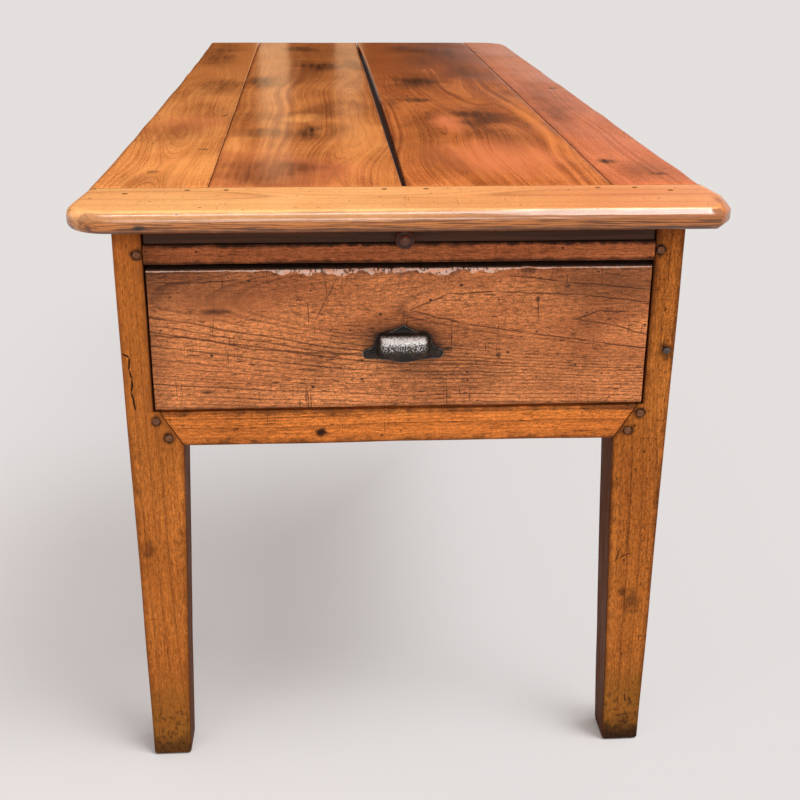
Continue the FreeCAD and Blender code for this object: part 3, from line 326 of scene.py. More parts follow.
# How far an arris changes along a piece and over what length, and the least that it can be
ARRIS_CHANGE = (0.3, 0.09)
LEAST_ARRIS = 0.0002

# Waves that a plane leaves: size of the long ones, share and size of the short ones, how far both are drawn
# out along the grain, and the height that is taken off so that a face stays inside its plane
LONG_WAVE = 0.055
SHORT_WAVE = (0.35, 0.017)
WAVE_STRETCH = 0.35
WAVE_TOP = 0.9


def plank_rings(axis, low, high, arris, ends=0.0015, cell=0.012, cells=(6, 4), seed=1, wander=1.0,
                shape=None, wear=None, extra=()):
    """Rings of a worn board or post along its grain, and how near each point is to an arris."""
    along, across, deep = AXES[axis]
    places, insets = stations(low[along], high[along], cell, ends, extra)
    sides = [np.full(len(places), side) for side in (low[across], high[across], low[deep], high[deep])]
    if shape:
        sides = shape(places, *sides)
    radii = np.full((len(places), 4), arris)
    for corner in range(4):
        radii[:, corner] *= 1 + ARRIS_CHANGE[0] * line_noise(places, ARRIS_CHANGE[1], seed * 7 + corner)
    if wear:
        radii = wear(places, radii)
    sides = [sides[0] + insets, sides[1] - insets, sides[2] + insets, sides[3] - insets]
    room = np.minimum(sides[1] - sides[0], sides[3] - sides[2]) * 0.45
    radii = np.clip(radii - insets[:, None] * 0.5, LEAST_ARRIS, np.maximum(room, LEAST_ARRIS)[:, None])
    flat, marks = rounded_rings(sides, radii, cells)
    step = np.roll(flat, -1, axis=1) - np.roll(flat, 1, axis=1)
    normal = np.stack([step[..., 1], -step[..., 0]], -1)
    normal /= np.linalg.norm(normal, axis=-1, keepdims=True) + 1e-12
    rings = np.empty(flat.shape[:2] + (3,))
    rings[..., along] = places[:, None]
    rings[..., across] = flat[..., 0]
    rings[..., deep] = flat[..., 1]
    stretch = np.ones(3)
    stretch[along] = WAVE_STRETCH
    share, size = SHORT_WAVE
    drift = soft_noise(rings * stretch, LONG_WAVE, seed)
    drift = drift + share * soft_noise(rings * stretch, size, seed + 5)
    drift = (drift - WAVE_TOP) * sizes().wander * wander
    rings[..., across] += normal[..., 0] * drift
    rings[..., deep] += normal[..., 1] * drift
    return rings, marks


def plank(name, *place, **options):
    """Worn board or post as a mesh."""
    return skin(name, *plank_rings(*place, **options))


def joined(name, meshes):
    """One mesh of several."""
    work = bmesh.new()
    for mesh in meshes:
        work.from_mesh(mesh)
    result = bpy.data.meshes.new(name)
    work.to_mesh(result)
    work.free()
    for mesh in meshes:
        bpy.data.meshes.remove(mesh)
    return result


def place_piece(mesh, name, body, material, nodes):
    """Puts a finished mesh into the scene as the look of some nodes of one body."""
    piece = new_object(name, mesh)
    mesh.materials.clear()
    mesh.materials.append(material)
    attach(piece, body)
    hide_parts(*nodes)
    return piece


def finish_nodes(names, material):
    """Gives a finish to nodes whose solid shape is right as it is."""
    for name in names:
        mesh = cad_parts[name].data
        mesh.materials.clear()
        mesh.materials.append(material)


def node_copy(node):
    """Mesh of a node with its loose triangles merged."""
    work = bmesh.new()
    work.from_mesh(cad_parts[node].data)
    bmesh.ops.remove_doubles(work, verts=work.verts, dist=1e-6)
    mesh = bpy.data.meshes.new(node + "_copy")
    work.to_mesh(mesh)
    work.free()
    return mesh


def islands(node):
    """Lowest and highest corner of each separate solid in a node."""
    mesh = node_copy(node)
    work = bmesh.new()
    work.from_mesh(mesh)
    bpy.data.meshes.remove(mesh)
    seen = set()
    boxes = []
    for start in work.verts:
        if start in seen:
            continue
        group, queue = [], [start]
        seen.add(start)
        while queue:
            vert = queue.pop()
            group.append(vert.co[:])
            for edge in vert.link_edges:
                other = edge.other_vert(vert)
                if other not in seen:
                    seen.add(other)
                    queue.append(other)
        boxes.append((np.min(group, 0), np.max(group, 0)))
    work.free()
    return boxes


def centre_of(low, high):
    """Middle of a box."""
    return (np.array(low) + np.array(high)) / 2


def evaluated(piece, name):
    """Plain mesh of an object with its modifiers applied; the object goes away."""
    depsgraph = bpy.context.evaluated_depsgraph_get()
    depsgraph.update()
    mesh = bpy.data.meshes.new_from_object(piece.evaluated_get(depsgraph))
    mesh.name = name
    source = piece.data
    piece.modifiers.clear()
    bpy.data.objects.remove(piece)
    bpy.data.meshes.remove(source)
    return mesh


# Materials


class Nodes:
    """Shorthand for adding nodes to one tree."""

    def __init__(self, tree):
        self.tree = tree

    def add(self, kind, inputs=None, **settings):
        node = self.tree.nodes.new(kind)
        for key, value in settings.items():
            setattr(node, key, value)
        self.fill(node, inputs or {})
        return node

    def fill(self, node, inputs):
        for key, value in inputs.items():
            if isinstance(value, bpy.types.NodeSocket):
                self.tree.links.new(value, node.inputs[key])
            else:
                node.inputs[key].default_value = value

    def math(self, operation, first, second=0.0, clamp=False):
        node = self.add("ShaderNodeMath", {0: first, 1: second}, operation=operation, use_clamp=clamp)
        return node.outputs[0]

    def times(self, first, second, clamp=False):
        return self.math("MULTIPLY", first, second, clamp)

    def plus(self, first, second, clamp=False):
        return self.math("ADD", first, second, clamp)

    def minus(self, first, second):
        return self.math("SUBTRACT", first, second)

    def vector(self, operation, first, second):
        return self.add("ShaderNodeVectorMath", {0: first, 1: second}, operation=operation).outputs[0]

    def dot(self, first, second):
        node = self.add("ShaderNodeVectorMath", {0: first, 1: second}, operation="DOT_PRODUCT")
        return node.outputs["Value"]

    def length(self, vector):
        return self.add("ShaderNodeVectorMath", {0: vector}, operation="LENGTH").outputs["Value"]

    def scaled(self, vector, factor):
        node = self.add("ShaderNodeVectorMath", {0: vector, "Scale": factor}, operation="SCALE")
        return node.outputs[0]

    def split(self, vector):
        return self.add("ShaderNodeSeparateXYZ", {0: vector}).outputs

    def combined(self, x=0.0, y=0.0, z=0.0):
        return self.add("ShaderNodeCombineXYZ", {0: x, 1: y, 2: z}).outputs[0]

    def noise(self, vector, scale=1.0, detail=2.0, output="Fac"):
        node = self.add("ShaderNodeTexNoise", {"Vector": vector, "Scale": scale, "Detail": detail})
        return node.outputs[output]

    def ease(self, value, low, high, first=0.0, last=1.0):
        node = self.add("ShaderNodeMapRange", {"Value": value, "From Min": low, "From Max": high,
                                               "To Min": first, "To Max": last},
                        interpolation_type="SMOOTHSTEP")
        return node.outputs["Result"]

    def mix(self, share, first, second, blend="MIX"):
        node = self.add("ShaderNodeMix", {0: share, 6: first, 7: second}, data_type="RGBA",
                        blend_type=blend)
        return node.outputs[2]

    def streaks(self, place, stretch, detail, low, high, first=0.0, last=1.0):
        """Noise drawn out along the axes, eased between two of its levels."""
        drawn = self.noise(self.vector("MULTIPLY", place, stretch), 1.0, detail)
        return self.ease(drawn, low, high, first, last)

    def wobble(self, place, scale, detail):
        """Noise about zero."""
        return self.minus(self.noise(place, scale, detail), 0.5)

    def swirl(self, place, scale, detail):
        """Noise about zero on each axis."""
        return self.vector("SUBTRACT", self.noise(place, scale, detail, "Color"), (0.5, 0.5, 0.5))


def emptied(block):
    """Shorthand for the tree of a new material or world, which starts empty."""
    block.use_nodes = True
    block.node_tree.nodes.clear()
    return Nodes(block.node_tree)


def made(store, name, maker):
    """A material or node group that several pieces share, made once."""
    return store.get(name) or maker(name)


SOCKETS = {"geometry": "NodeSocketGeometry", "vector": "NodeSocketVector", "colour": "NodeSocketColor",
           "value": "NodeSocketFloat", "material": "NodeSocketMaterial"}


def node_group(name, kind, inputs, outputs):
    """Shorthand for a new node group with named sockets, what it is given, and its output node."""
    tree = bpy.data.node_groups.new(name, kind)
    for side, sockets in (("INPUT", inputs), ("OUTPUT", outputs)):
        for label, socket in sockets.items():
            tree.interface.new_socket(label, in_out=side, socket_type=SOCKETS[socket])
    n = Nodes(tree)
    return n, n.add("NodeGroupInput").outputs, n.add("NodeGroupOutput")


# Usual values of the shared grain; a finish gives its own where it differs
WOOD_VALUES = {"Ring Spacing": 0.006, "Ring Phase": 0.0, "Ring Start": 0.4, "Ring Depth": 0.55, "Bands": 0.6,
               "Fine Spacing": 0.0017, "Fine Depth": 0.25, "Fine From": 0.0, "Pith": 0.05, "Cone": 0.0,
               "Tilt": 0.0, "Waver": 0.02, "Figure Length": 1.6, "Figure Width": 7.0, "Fibre": 0.3,
               "Pores": 0.3, "Mottle": 1.5, "Clouds": 0.2, "Scratches": 0.0, "Specks": 0.0, "Speckle": 0.9,
               "Edge Wear": 0.5}
WOOD_COLOURS = ("Pale", "Mid", "Dark", "Speck Colour", "Edge Colour")

# Stretch of the noise along and across the grain, its detail, and the levels between which each kind shows
GRAIN = {"fibre": ((14, 360, 360), 3.0, 0.36, 0.64), "hair": ((60, 700, 700), 2.0, 0.38, 0.66),
         "pores": ((70, 520, 520), 1.0, 0.63, 0.72), "clouds": ((3.1, 6.5, 6.5), 4.0, 0.50, 0.70),
         "scrape": ((520, 14, 14), 1.0, 0.63, 0.70)}
MOTTLE = (6, 17, 17)
GRIT = (150, 420, 420)
WORM_CELLS = (85, 120, 120)

# Share of a ring where its dark line is darkest, where the line of a fine ring starts, and the darkest grain
LATE_WOOD = 0.93
FINE_START = 0.45
DARKEST = 0.93


def ring_lines(n, rings, start):
    """Dark late-wood line at the end of each ring, some years darker than others."""
    part = n.math("FRACT", rings)
    year = n.add("ShaderNodeTexWhiteNoise", {"W": n.math("FLOOR", rings)}, noise_dimensions="1D")
    year = year.outputs["Value"]
    rise = n.math("POWER", n.ease(part, start, LATE_WOOD), 2.0)
    line = n.times(rise, n.ease(part, LATE_WOOD, 1.0, 1.0, 0.0))
    return n.times(line, n.plus(n.times(year, 0.7), 0.3)), year


def wood_group(name):
    """Grain of an old board: rings, fibres, pores, clouds, scratches, worm holes and rubbed edges."""
    inputs = {"Vector": "vector", "Edge": "value"}
    inputs |= dict.fromkeys(WOOD_COLOURS, "colour") | dict.fromkeys(WOOD_VALUES, "value")
    n, given, out = node_group(name, "ShaderNodeTree", inputs,
                               {"Color": "colour", "Height": "value", "Sheen": "value"})
    place, width = given["Vector"], given["Figure Width"]
    figure = n.vector("MULTIPLY", place, n.combined(given["Figure Length"], width, width))
    x, y, z = n.split(n.vector("ADD", place, n.scaled(n.swirl(figure, 1.0, 1.0), given["Waver"])))
    lean = n.times(given["Tilt"], n.ease(n.math("ABSOLUTE", y), 0.03, 0.12, 1.0, 0.0))
    y = n.plus(y, n.times(x, lean))
    depth = n.plus(n.plus(z, given["Pith"]), n.times(x, given["Cone"]))
    radius = n.math("SQRT", n.plus(n.times(y, y), n.times(depth, depth)))
    rings = n.plus(n.math("DIVIDE", radius, given["Ring Spacing"]), given["Ring Phase"])
    late, year = ring_lines(n, rings, given["Ring Start"])
    fine_late, _ = ring_lines(n, n.math("DIVIDE", radius, given["Fine Spacing"]), FINE_START)
    bands = n.add("ShaderNodeTexNoise", {"W": n.times(rings, 0.43), "Scale": 1.0, "Detail": 1.0},
                  noise_dimensions="1D").outputs["Fac"]
    bands = n.times(n.minus(bands, 0.5), given["Bands"])
    beyond = n.math("DIVIDE", n.minus(radius, given["Fine From"]), 0.03, clamp=True)
    fibre, hair, pores, clouds, scrape = (n.streaks(place, *look) for look in GRAIN.values())
    scrape = n.times(scrape, n.ease(n.noise(place, 23.0, 2.0), 0.52, 0.66))
    mottle = n.noise(n.vector("MULTIPLY", place, MOTTLE), 1.0, 5.0)
    cells = n.add("ShaderNodeTexVoronoi", {"Vector": n.vector("MULTIPLY", place, WORM_CELLS), "Scale": 1.0})
    pick = n.split(cells.outputs["Color"])
    spread = n.plus(n.times(pick[1], 0.14), 0.07)
    speck = n.ease(n.math("DIVIDE", cells.outputs["Distance"], spread), 0.7, 1.2, 1.0, 0.0)
    speck = n.times(speck, n.math("GREATER_THAN", pick[0], 0.76))
    speck = n.times(speck, given["Specks"], clamp=True)
    tone = n.plus(n.times(n.minus(mottle, 0.5), given["Mottle"]), n.plus(n.times(year, 0.2), 0.4))
    base = n.mix(n.plus(tone, bands, clamp=True), given["Pale"], given["Mid"])
    rub = n.plus(n.times(mottle, 1.2), 0.25)
    dark = n.plus(n.times(n.times(late, rub), given["Ring Depth"]),
                  n.times(n.times(fine_late, beyond), given["Fine Depth"]))
    strands = n.plus(n.times(fibre, 0.6), n.times(hair, 0.6))
    for layer, label in ((strands, "Fibre"), (pores, "Pores"), (clouds, "Clouds"), (scrape, "Scratches")):
        dark = n.plus(dark, n.times(layer, given[label]))
    base = n.mix(n.math("MINIMUM", dark, DARKEST), base, given["Dark"])
    grit = n.plus(n.noise(n.vector("MULTIPLY", place, GRIT), 1.0, 2.0), n.noise(place, 620.0, 1.0))
    grit = n.times(n.minus(grit, 1.0), given["Speckle"])
    base = n.add("ShaderNodeHueSaturation", {"Value": n.plus(grit, 1.0), "Color": base}).outputs[0]
    base = n.mix(speck, base, given["Speck Colour"])
    ragged = n.plus(given["Edge"], n.times(n.wobble(place, 55.0, 4.0), 1.3))
    rubbed = n.times(n.ease(ragged, 0.5, 1.1), given["Edge Wear"], clamp=True)
    height = n.minus(n.times(strands, -0.45), n.times(late, 0.3))
    for layer, label in ((pores, "Pores"), (scrape, "Scratches")):
        height = n.minus(height, n.times(layer, given[label]))
    n.fill(out, {"Color": n.mix(rubbed, base, given["Edge Colour"]),
                 "Height": n.minus(height, n.times(speck, 1.6)),
                 "Sheen": n.plus(n.times(mottle, 0.7), n.times(fibre, 0.3))})
    return n.tree


def spot_group(name):
    """Ragged round or long mark: 1 in its middle, 0 outside."""
    n, given, out = node_group(name, "ShaderNodeTree",
                               {"Vector": "vector", "Centre": "vector", "Reach": "vector", "Ragged": "value",
                                "Fineness": "value"}, {"Mask": "value"})
    reach, ragged, fineness = given["Reach"], given["Ragged"], given["Fineness"]
    swirl = n.swirl(given["Vector"], n.times(fineness, 0.6), 3.0)
    place = n.vector("ADD", given["Vector"], n.vector("MULTIPLY", swirl, n.scaled(reach, ragged)))
    away = n.length(n.vector("DIVIDE", n.vector("SUBTRACT", place, given["Centre"]), reach))
    away = n.plus(away, n.times(n.wobble(given["Vector"], fineness, 4.0), ragged))
    n.fill(out, {"Mask": n.ease(away, 0.15, 1.0, 1.0, 0.0)})
    return n.tree


def line_group(name):
    """Thin wavering line between two points, such as a crack, a scratch or a knife cut."""
    n, given, out = node_group(name, "ShaderNodeTree",
                               {"Vector": "vector", "Start": "vector", "End": "vector", "Width": "value",
                                "Waver": "value", "Fineness": "value"}, {"Mask": "value"})
    bend = n.swirl(given["Vector"], given["Fineness"], 2.0)
    place = n.vector("ADD", given["Vector"], n.scaled(bend, given["Waver"]))
    run = n.vector("SUBTRACT", given["End"], given["Start"])
    rel = n.vector("MULTIPLY", n.vector("SUBTRACT", place, given["Start"]), (1, 0.1, 1))
    share = n.math("DIVIDE", n.dot(rel, run), n.dot(run, run), clamp=True)
    away = n.length(n.vector("SUBTRACT", rel, n.scaled(run, share)))
    taper = n.ease(n.math("ABSOLUTE", n.minus(share, 0.5)), 0.3, 0.5, 1.0, 0.35)
    thin = n.times(given["Width"], taper)
    n.fill(out, {"Mask": n.ease(n.math("DIVIDE", away, thin), 0.6, 1.0, 1.0, 0.0)})
    return n.tree


def grain_turn(along, across):
    """Turn that brings the grain to X and the width of the face to Y."""
    deep = 3 - along - across
    rows = [[0, 0, 0] for _ in range(3)]
    rows[0][along] = rows[1][across] = rows[2][deep] = 1
    turn = Matrix(rows)
    if turn.determinant() < 0:
        rows[2][deep] = -1
        turn = Matrix(rows)
    return turn.to_euler()


def on_front(x, z):
    """A place across and up the front of the frame."""
    return (x, FRAME_FRONT, z)


class Wood:
    """One wooden finish: the shared grain, then marks laid over it, then the shader."""

    def __init__(self, name, along, across, pale, mid, dark, shift=(0, 0, 0), edge_colour="umber",
                 **values):
        self.material = bpy.data.materials.new(name)
        n = self.nodes = emptied(self.material)
        self.place = n.add("ShaderNodeTexCoord").outputs["Object"]
        turned = n.add("ShaderNodeMapping", {"Vector": self.place, "Location": shift,
                                             "Rotation": grain_turn(along, across)}).outputs[0]
        edge = n.add("ShaderNodeAttribute", attribute_name="edge").outputs["Fac"]
        inputs = WOOD_VALUES | {key.replace("_", " ").title(): value for key, value in values.items()}
        shades = (pale, mid, dark, "grime", edge_colour)
        inputs |= {label: tint(shade) for label, shade in zip(WOOD_COLOURS, shades)}
        inputs |= {"Vector": turned, "Edge": edge}
        self.grain = self.group("aged_wood", wood_group, inputs)
        self.colour = self.grain["Color"]
        self.height = self.grain["Height"]

    def group(self, name, maker, inputs):
        """Outputs of a shared node group."""
        tree = made(bpy.data.node_groups, name, maker)
        return self.nodes.add("ShaderNodeGroup", inputs, node_tree=tree).outputs

    def facing(self):
        """How far the surface faces along X."""
        n = self.nodes
        return n.split(n.add("ShaderNodeTexCoord").outputs["Normal"])[X]

    def spot(self, centre, reach, ragged=0.7, fineness=14.0):
        """Mask of a ragged mark."""
        return self.group("ragged_spot", spot_group, {"Vector": self.place, "Centre": centre, "Reach": reach,
                                                      "Ragged": ragged, "Fineness": fineness})["Mask"]

    def path(self, points, width, waver=0.004, fineness=40.0):
        """Masks of the thin lines from point to point across and up the front."""
        return [self.group("thin_line", line_group,
                           {"Vector": self.place, "Start": on_front(*start), "End": on_front(*end),
                            "Width": width, "Waver": waver, "Fineness": fineness})["Mask"]
                for start, end in zip(points, points[1:])]

    def along(self, axis, low, high, ragged=0.02, fineness=30.0):
        """Mask that rises along one axis, with a ragged front."""
        n = self.nodes
        rough = n.times(n.wobble(self.place, fineness, 3.0), ragged)
        return n.ease(n.plus(n.split(self.place)[axis], rough), low, high)

    def tinge(self, mask, name, amount, blend="MIX"):
        """Lays a colour over the wood where the mask is."""
        share = self.nodes.times(mask, amount, clamp=True)
        self.colour = self.nodes.mix(share, self.colour, tint(name), blend)

    def sink(self, mask, amount):
        """Presses the mask into the surface."""
        self.height = self.nodes.minus(self.height, self.nodes.times(mask, amount))

    def finish(self, rough=(0.32, 0.5), bump=0.35, depth=0.0006, specular=0.4):
        """Adds the shader."""
        n = self.nodes
        gloss = n.ease(self.grain["Sheen"], 0.3, 0.75, *rough)
        shader = n.add("ShaderNodeBsdfPrincipled", {"Base Color": self.colour, "Roughness": gloss,
                                                    "Specular IOR Level": specular})
        if bump:
            normal = n.add("ShaderNodeBump", {"Strength": bump, "Distance": depth, "Height": self.height})
            n.fill(shader, {"Normal": normal.outputs[0]})
        n.add("ShaderNodeOutputMaterial", {"Surface": shader.outputs[0]})
        return self.material


# Finishes

# How deep a mark on the front of the frame and on the top reaches into the wood
FRONT_REACH = 0.02
TOP_REACH = 0.05

# Middle of the heart across each board, its depth, rings, marks as colour, place, reach and strength
BOARDS = (
    {"middle": -0.318, "pith": 0.012, "ring_spacing": 0.0033, "waver": 0.130, "tilt": 0.05, "clouds": 0.26,
     "specular": 0.10, "far": 0.85, "marks": (
         ("board_1", -0.271, -0.672, 0.057, 0.138, 0.6), ("board_4", -0.290, -0.330, 0.080, 0.180, 0.5),
         ("smoke", -0.301, -0.420, 0.080, 0.150, 0.45), ("smoke", -0.276, 0.097, 0.066, 0.193, 0.6),
         ("smoke", -0.324, 0.665, 0.070, 0.341, 0.7), ("smoke", -0.290, -0.180, 0.060, 0.110, 0.25),
         ("stain", -0.252, -0.560, 0.012, 0.009, 0.7), ("stain", -0.303, -0.715, 0.011, 0.012, 0.6),
         ("stain", -0.245, -0.250, 0.007, 0.018, 0.5))},
    {"middle": -0.060, "pith": 0.030, "ring_spacing": 0.0030, "waver": 0.120, "tilt": -0.03, "clouds": 0.36,
     "specular": 0.14, "far": 0.5, "marks": (
         ("rail", -0.120, 0.620, 0.200, 0.500, 0.35), ("board_1", -0.037, -0.450, 0.059, 0.297, 0.6),
         ("board_1", -0.125, -0.282, 0.050, 0.075, 0.8),
         ("board_1", -0.210, -0.520, 0.030, 0.130, 0.7), ("board_4", -0.150, -0.745, 0.150, 0.200, 0.7),
         ("smoke", -0.174, -0.430, 0.085, 0.070, 0.75), ("smoke", -0.165, -0.710, 0.110, 0.120, 0.7),
         ("smoke", -0.150, -0.800, 0.120, 0.120, 0.5), ("smoke", -0.075, -0.400, 0.050, 0.110, 0.5),
         ("smoke", -0.113, 0.398, 0.085, 0.203, 0.9), ("smoke", -0.027, 0.447, 0.045, 0.211, 0.7),
         ("smoke", -0.200, 0.155, 0.050, 0.150, 0.6), ("smoke", -0.080, 0.700, 0.150, 0.300, 0.45),
         ("stain", -0.109, -0.408, 0.026, 0.092, 0.95), ("stain", -0.165, -0.700, 0.080, 0.090, 0.22),
         ("stain", -0.209, 0.155, 0.026, 0.110, 0.6), ("stain", -0.090, 0.398, 0.060, 0.120, 0.5),
         ("stain", -0.135, 0.786, 0.060, 0.080, 0.7))},
    {"middle": 0.120, "pith": 0.020, "ring_spacing": 0.0034, "waver": 0.140, "tilt": 0.05, "clouds": 0.36,
     "specular": 0.12, "far": 0.9, "marks": (
         ("rail", 0.130, 0.760, 0.200, 0.450, 0.22), ("rail", 0.241, -0.331, 0.028, 0.361, 0.6),
         ("rail", 0.040, -0.520, 0.024, 0.140, 0.3),
         ("board_4", 0.140, -0.620, 0.120, 0.180, 0.7), ("board_4", 0.107, -0.334, 0.045, 0.130, 1.0),
         ("smoke", 0.157, 0.724, 0.140, 0.461, 0.9), ("smoke", 0.091, 0.172, 0.075, 0.172, 0.85),
         ("smoke", 0.199, 0.347, 0.060, 0.237, 0.7), ("smoke", 0.029, -0.120, 0.026, 0.081, 0.7),
         ("smoke", 0.175, -0.270, 0.080, 0.150, 0.6), ("smoke", 0.145, -0.381, 0.045, 0.127, 0.75),
         ("smoke", 0.064, -0.644, 0.055, 0.176, 0.5), ("smoke", 0.177, -0.479, 0.060, 0.115, 0.45),
         ("stain", 0.168, -0.245, 0.055, 0.120, 0.7), ("stain", 0.140, -0.360, 0.026, 0.080, 0.5),
         ("stain", 0.077, -0.088, 0.034, 0.036, 0.9), ("stain", 0.091, 0.172, 0.060, 0.070, 0.6))},
    {"middle": 0.420, "pith": 0.060, "ring_spacing": 0.0030, "waver": 0.060, "tilt": 0.02, "clouds": 0.30,
     "specular": 0.08, "far": 0.0, "marks": (
         ("smoke", 0.286, -0.218, 0.036, 0.300, 0.5), ("smoke", 0.311, -0.707, 0.045, 0.105, 0.5),
         ("rail", 0.320, 0.600, 0.110, 0.700, 0.35), ("stain", 0.281, -0.655, 0.020, 0.030, 1.0),
         ("stain", 0.329, -0.743, 0.020, 0.016, 0.6), ("stain", 0.340, 0.069, 0.012, 0.018, 0.9))},
)

# Board whose side in the open joint carries a painted grey reflection, and the last board
OPEN_SIDE = 2
LAST_BOARD = len(BOARDS) - 1


def board_finish(number):
    """Polish of one board of the top."""
    look = dict(BOARDS[number])
    marks, specular, far = look.pop("marks"), look.pop("specular"), look.pop("far")
    name = f"board_{number + 1}"
    wood = Wood(f"polished_{name}", Y, X, name, name + "_deep", "umber",
                shift=(0.7 * number, -look.pop("middle"), TOP_Z), ring_start=0.45, ring_depth=0.42,
                bands=1.4, fine_depth=0.0, figure_length=1.7, figure_width=2.9, fibre=0.16, pores=0.18,
                edge_wear=0.3, specks=0.6, speckle=0.8, mottle=2.0, **look)
    # Painted shade: each board darkens towards its far end, where the light falls off.
    wood.tinge(wood.along(Y, -0.15, 0.70, 0.5, 4.0), name + "_deep", far)
    n = wood.nodes
    strokes = n.streaks(wood.place, (120, 7, 120), 4.0, 0.36, 0.64, 0.62, 1.08)
    for shade, x, y, reach_x, reach_y, amount in marks:
        mask = wood.spot((x, y, TOP_Z), (reach_x, reach_y, TOP_REACH), 1.1, 11.0)
        wood.tinge(n.times(mask, strokes), shade, amount)
    # Painted reflection: the side of the board in the open joint is tinged pale grey.
    if number == OPEN_SIDE:
        side = n.ease(wood.facing(), -0.5, -0.9)
        stretch = n.times(wood.along(Y, -0.15, 0.05, 0.1, 12.0), wood.along(Y, 0.80, 0.55, 0.1, 12.0))
        wood.tinge(n.times(side, stretch), "iron_bright", 0.85)
    return wood.finish(rough=(0.14, 0.17), bump=0.0, specular=specular)


def breadboard_finish(name):
    """Lighter cross board, dark and streaked along its front edge."""
    wood = Wood(name, X, Y, "breadboard", "breadboard_deep", "umber", shift=(0, 0.86, -TOP_Z), pith=0.10,
                ring_spacing=0.0055, ring_depth=0.18, waver=0.030, figure_width=7.0, fibre=0.10, pores=0.16,
                mottle=1.7, specks=0.7, speckle=0.5, edge_wear=0.0, clouds=0.10, scratches=0.4)
    n = wood.nodes
    rightwards = wood.along(X, -0.10, 0.30, 0.1, 8.0)
    ends = n.ease(n.math("ABSOLUTE", n.split(wood.place)[X]), 0.352, 0.366)
    front = n.math("MAXIMUM", wood.along(Y, -0.925, -0.939, 0.002), ends)
    front = n.times(wood.along(Z, 0.7545, 0.7455, 0.006), front)
    streaks = n.times(front, n.streaks(wood.place, (20, 300, 900), 5.0, 0.44, 0.55))
    # Painted shade on the nose, stronger on the right, tones down the light that falls on it.
    nose = n.times(wood.along(Z, 0.7590, 0.7570, 0.002), wood.along(Y, -0.929, -0.934, 0.002))
    right_nose = n.times(nose, wood.along(X, 0.0, 0.15, 0.05, 8.0))
    right_end = n.times(wood.along(X, 0.350, 0.358, 0.004), wood.along(Y, -0.87, -0.90, 0.01))
    # Painted shade: the front grows darker towards its bottom edge.
    below = n.times(front, wood.along(Z, 0.7430, 0.7360, 0.008, 60.0))
    chip = wood.spot((-0.29, BREADBOARD_FRONT, 0.743), (0.012, FRONT_REACH, 0.004), 1.2, 90.0)
    wood.tinge(rightwards, "board_2", 0.40, "MULTIPLY")
    # Painted shade on the nose, more on its right half.
    wood.tinge(nose, "umber", 0.50)
    wood.tinge(right_nose, "umber", 0.35)
    wood.tinge(right_end, "leg_deep", 0.75)
    wood.tinge(front, "leg", 0.9)
    wood.tinge(n.times(front, rightwards), "umber", 0.16)
    wood.tinge(streaks, "umber", 0.85)
    # Painted shade along the bottom of the front.
    wood.tinge(below, "umber", 0.8)
    wood.tinge(n.times(front, chip), "grime", 1.0)
    wood.tinge(wood.along(Y, -0.8155, -0.8138, 0.0012), "umber", 0.8)
    wood.sink(streaks, 0.8)
    return wood.finish(rough=(0.16, 0.26), bump=0.12, specular=0.66)


# Marks across and up the fronts of the legs: a split, dents with their reach, and knife cuts
LEG_CRACK = ((-0.3309, 0.5745), (-0.3221, 0.5703), (-0.3248, 0.5541), (-0.3212, 0.5418), (-0.3235, 0.5253),
             (-0.3204, 0.5003))
LEG_DENTS = ((0.292, 0.234, 0.007), (0.304, 0.222, 0.020), (-0.325, 0.396, 0.010), (-0.316, 0.313, 0.012))
LEG_CUTS = (((0.285, 0.286), (0.299, 0.291)), ((0.307, 0.076), (0.309, 0.062)),
            ((0.314, 0.070), (0.316, 0.056)), ((0.298, 0.040), (0.316, 0.043)),
            ((0.300, 0.030), (0.318, 0.031)), ((0.286, 0.300), (0.279, 0.280)))
NAIL_STAIN = (0.3225, 0.5685)


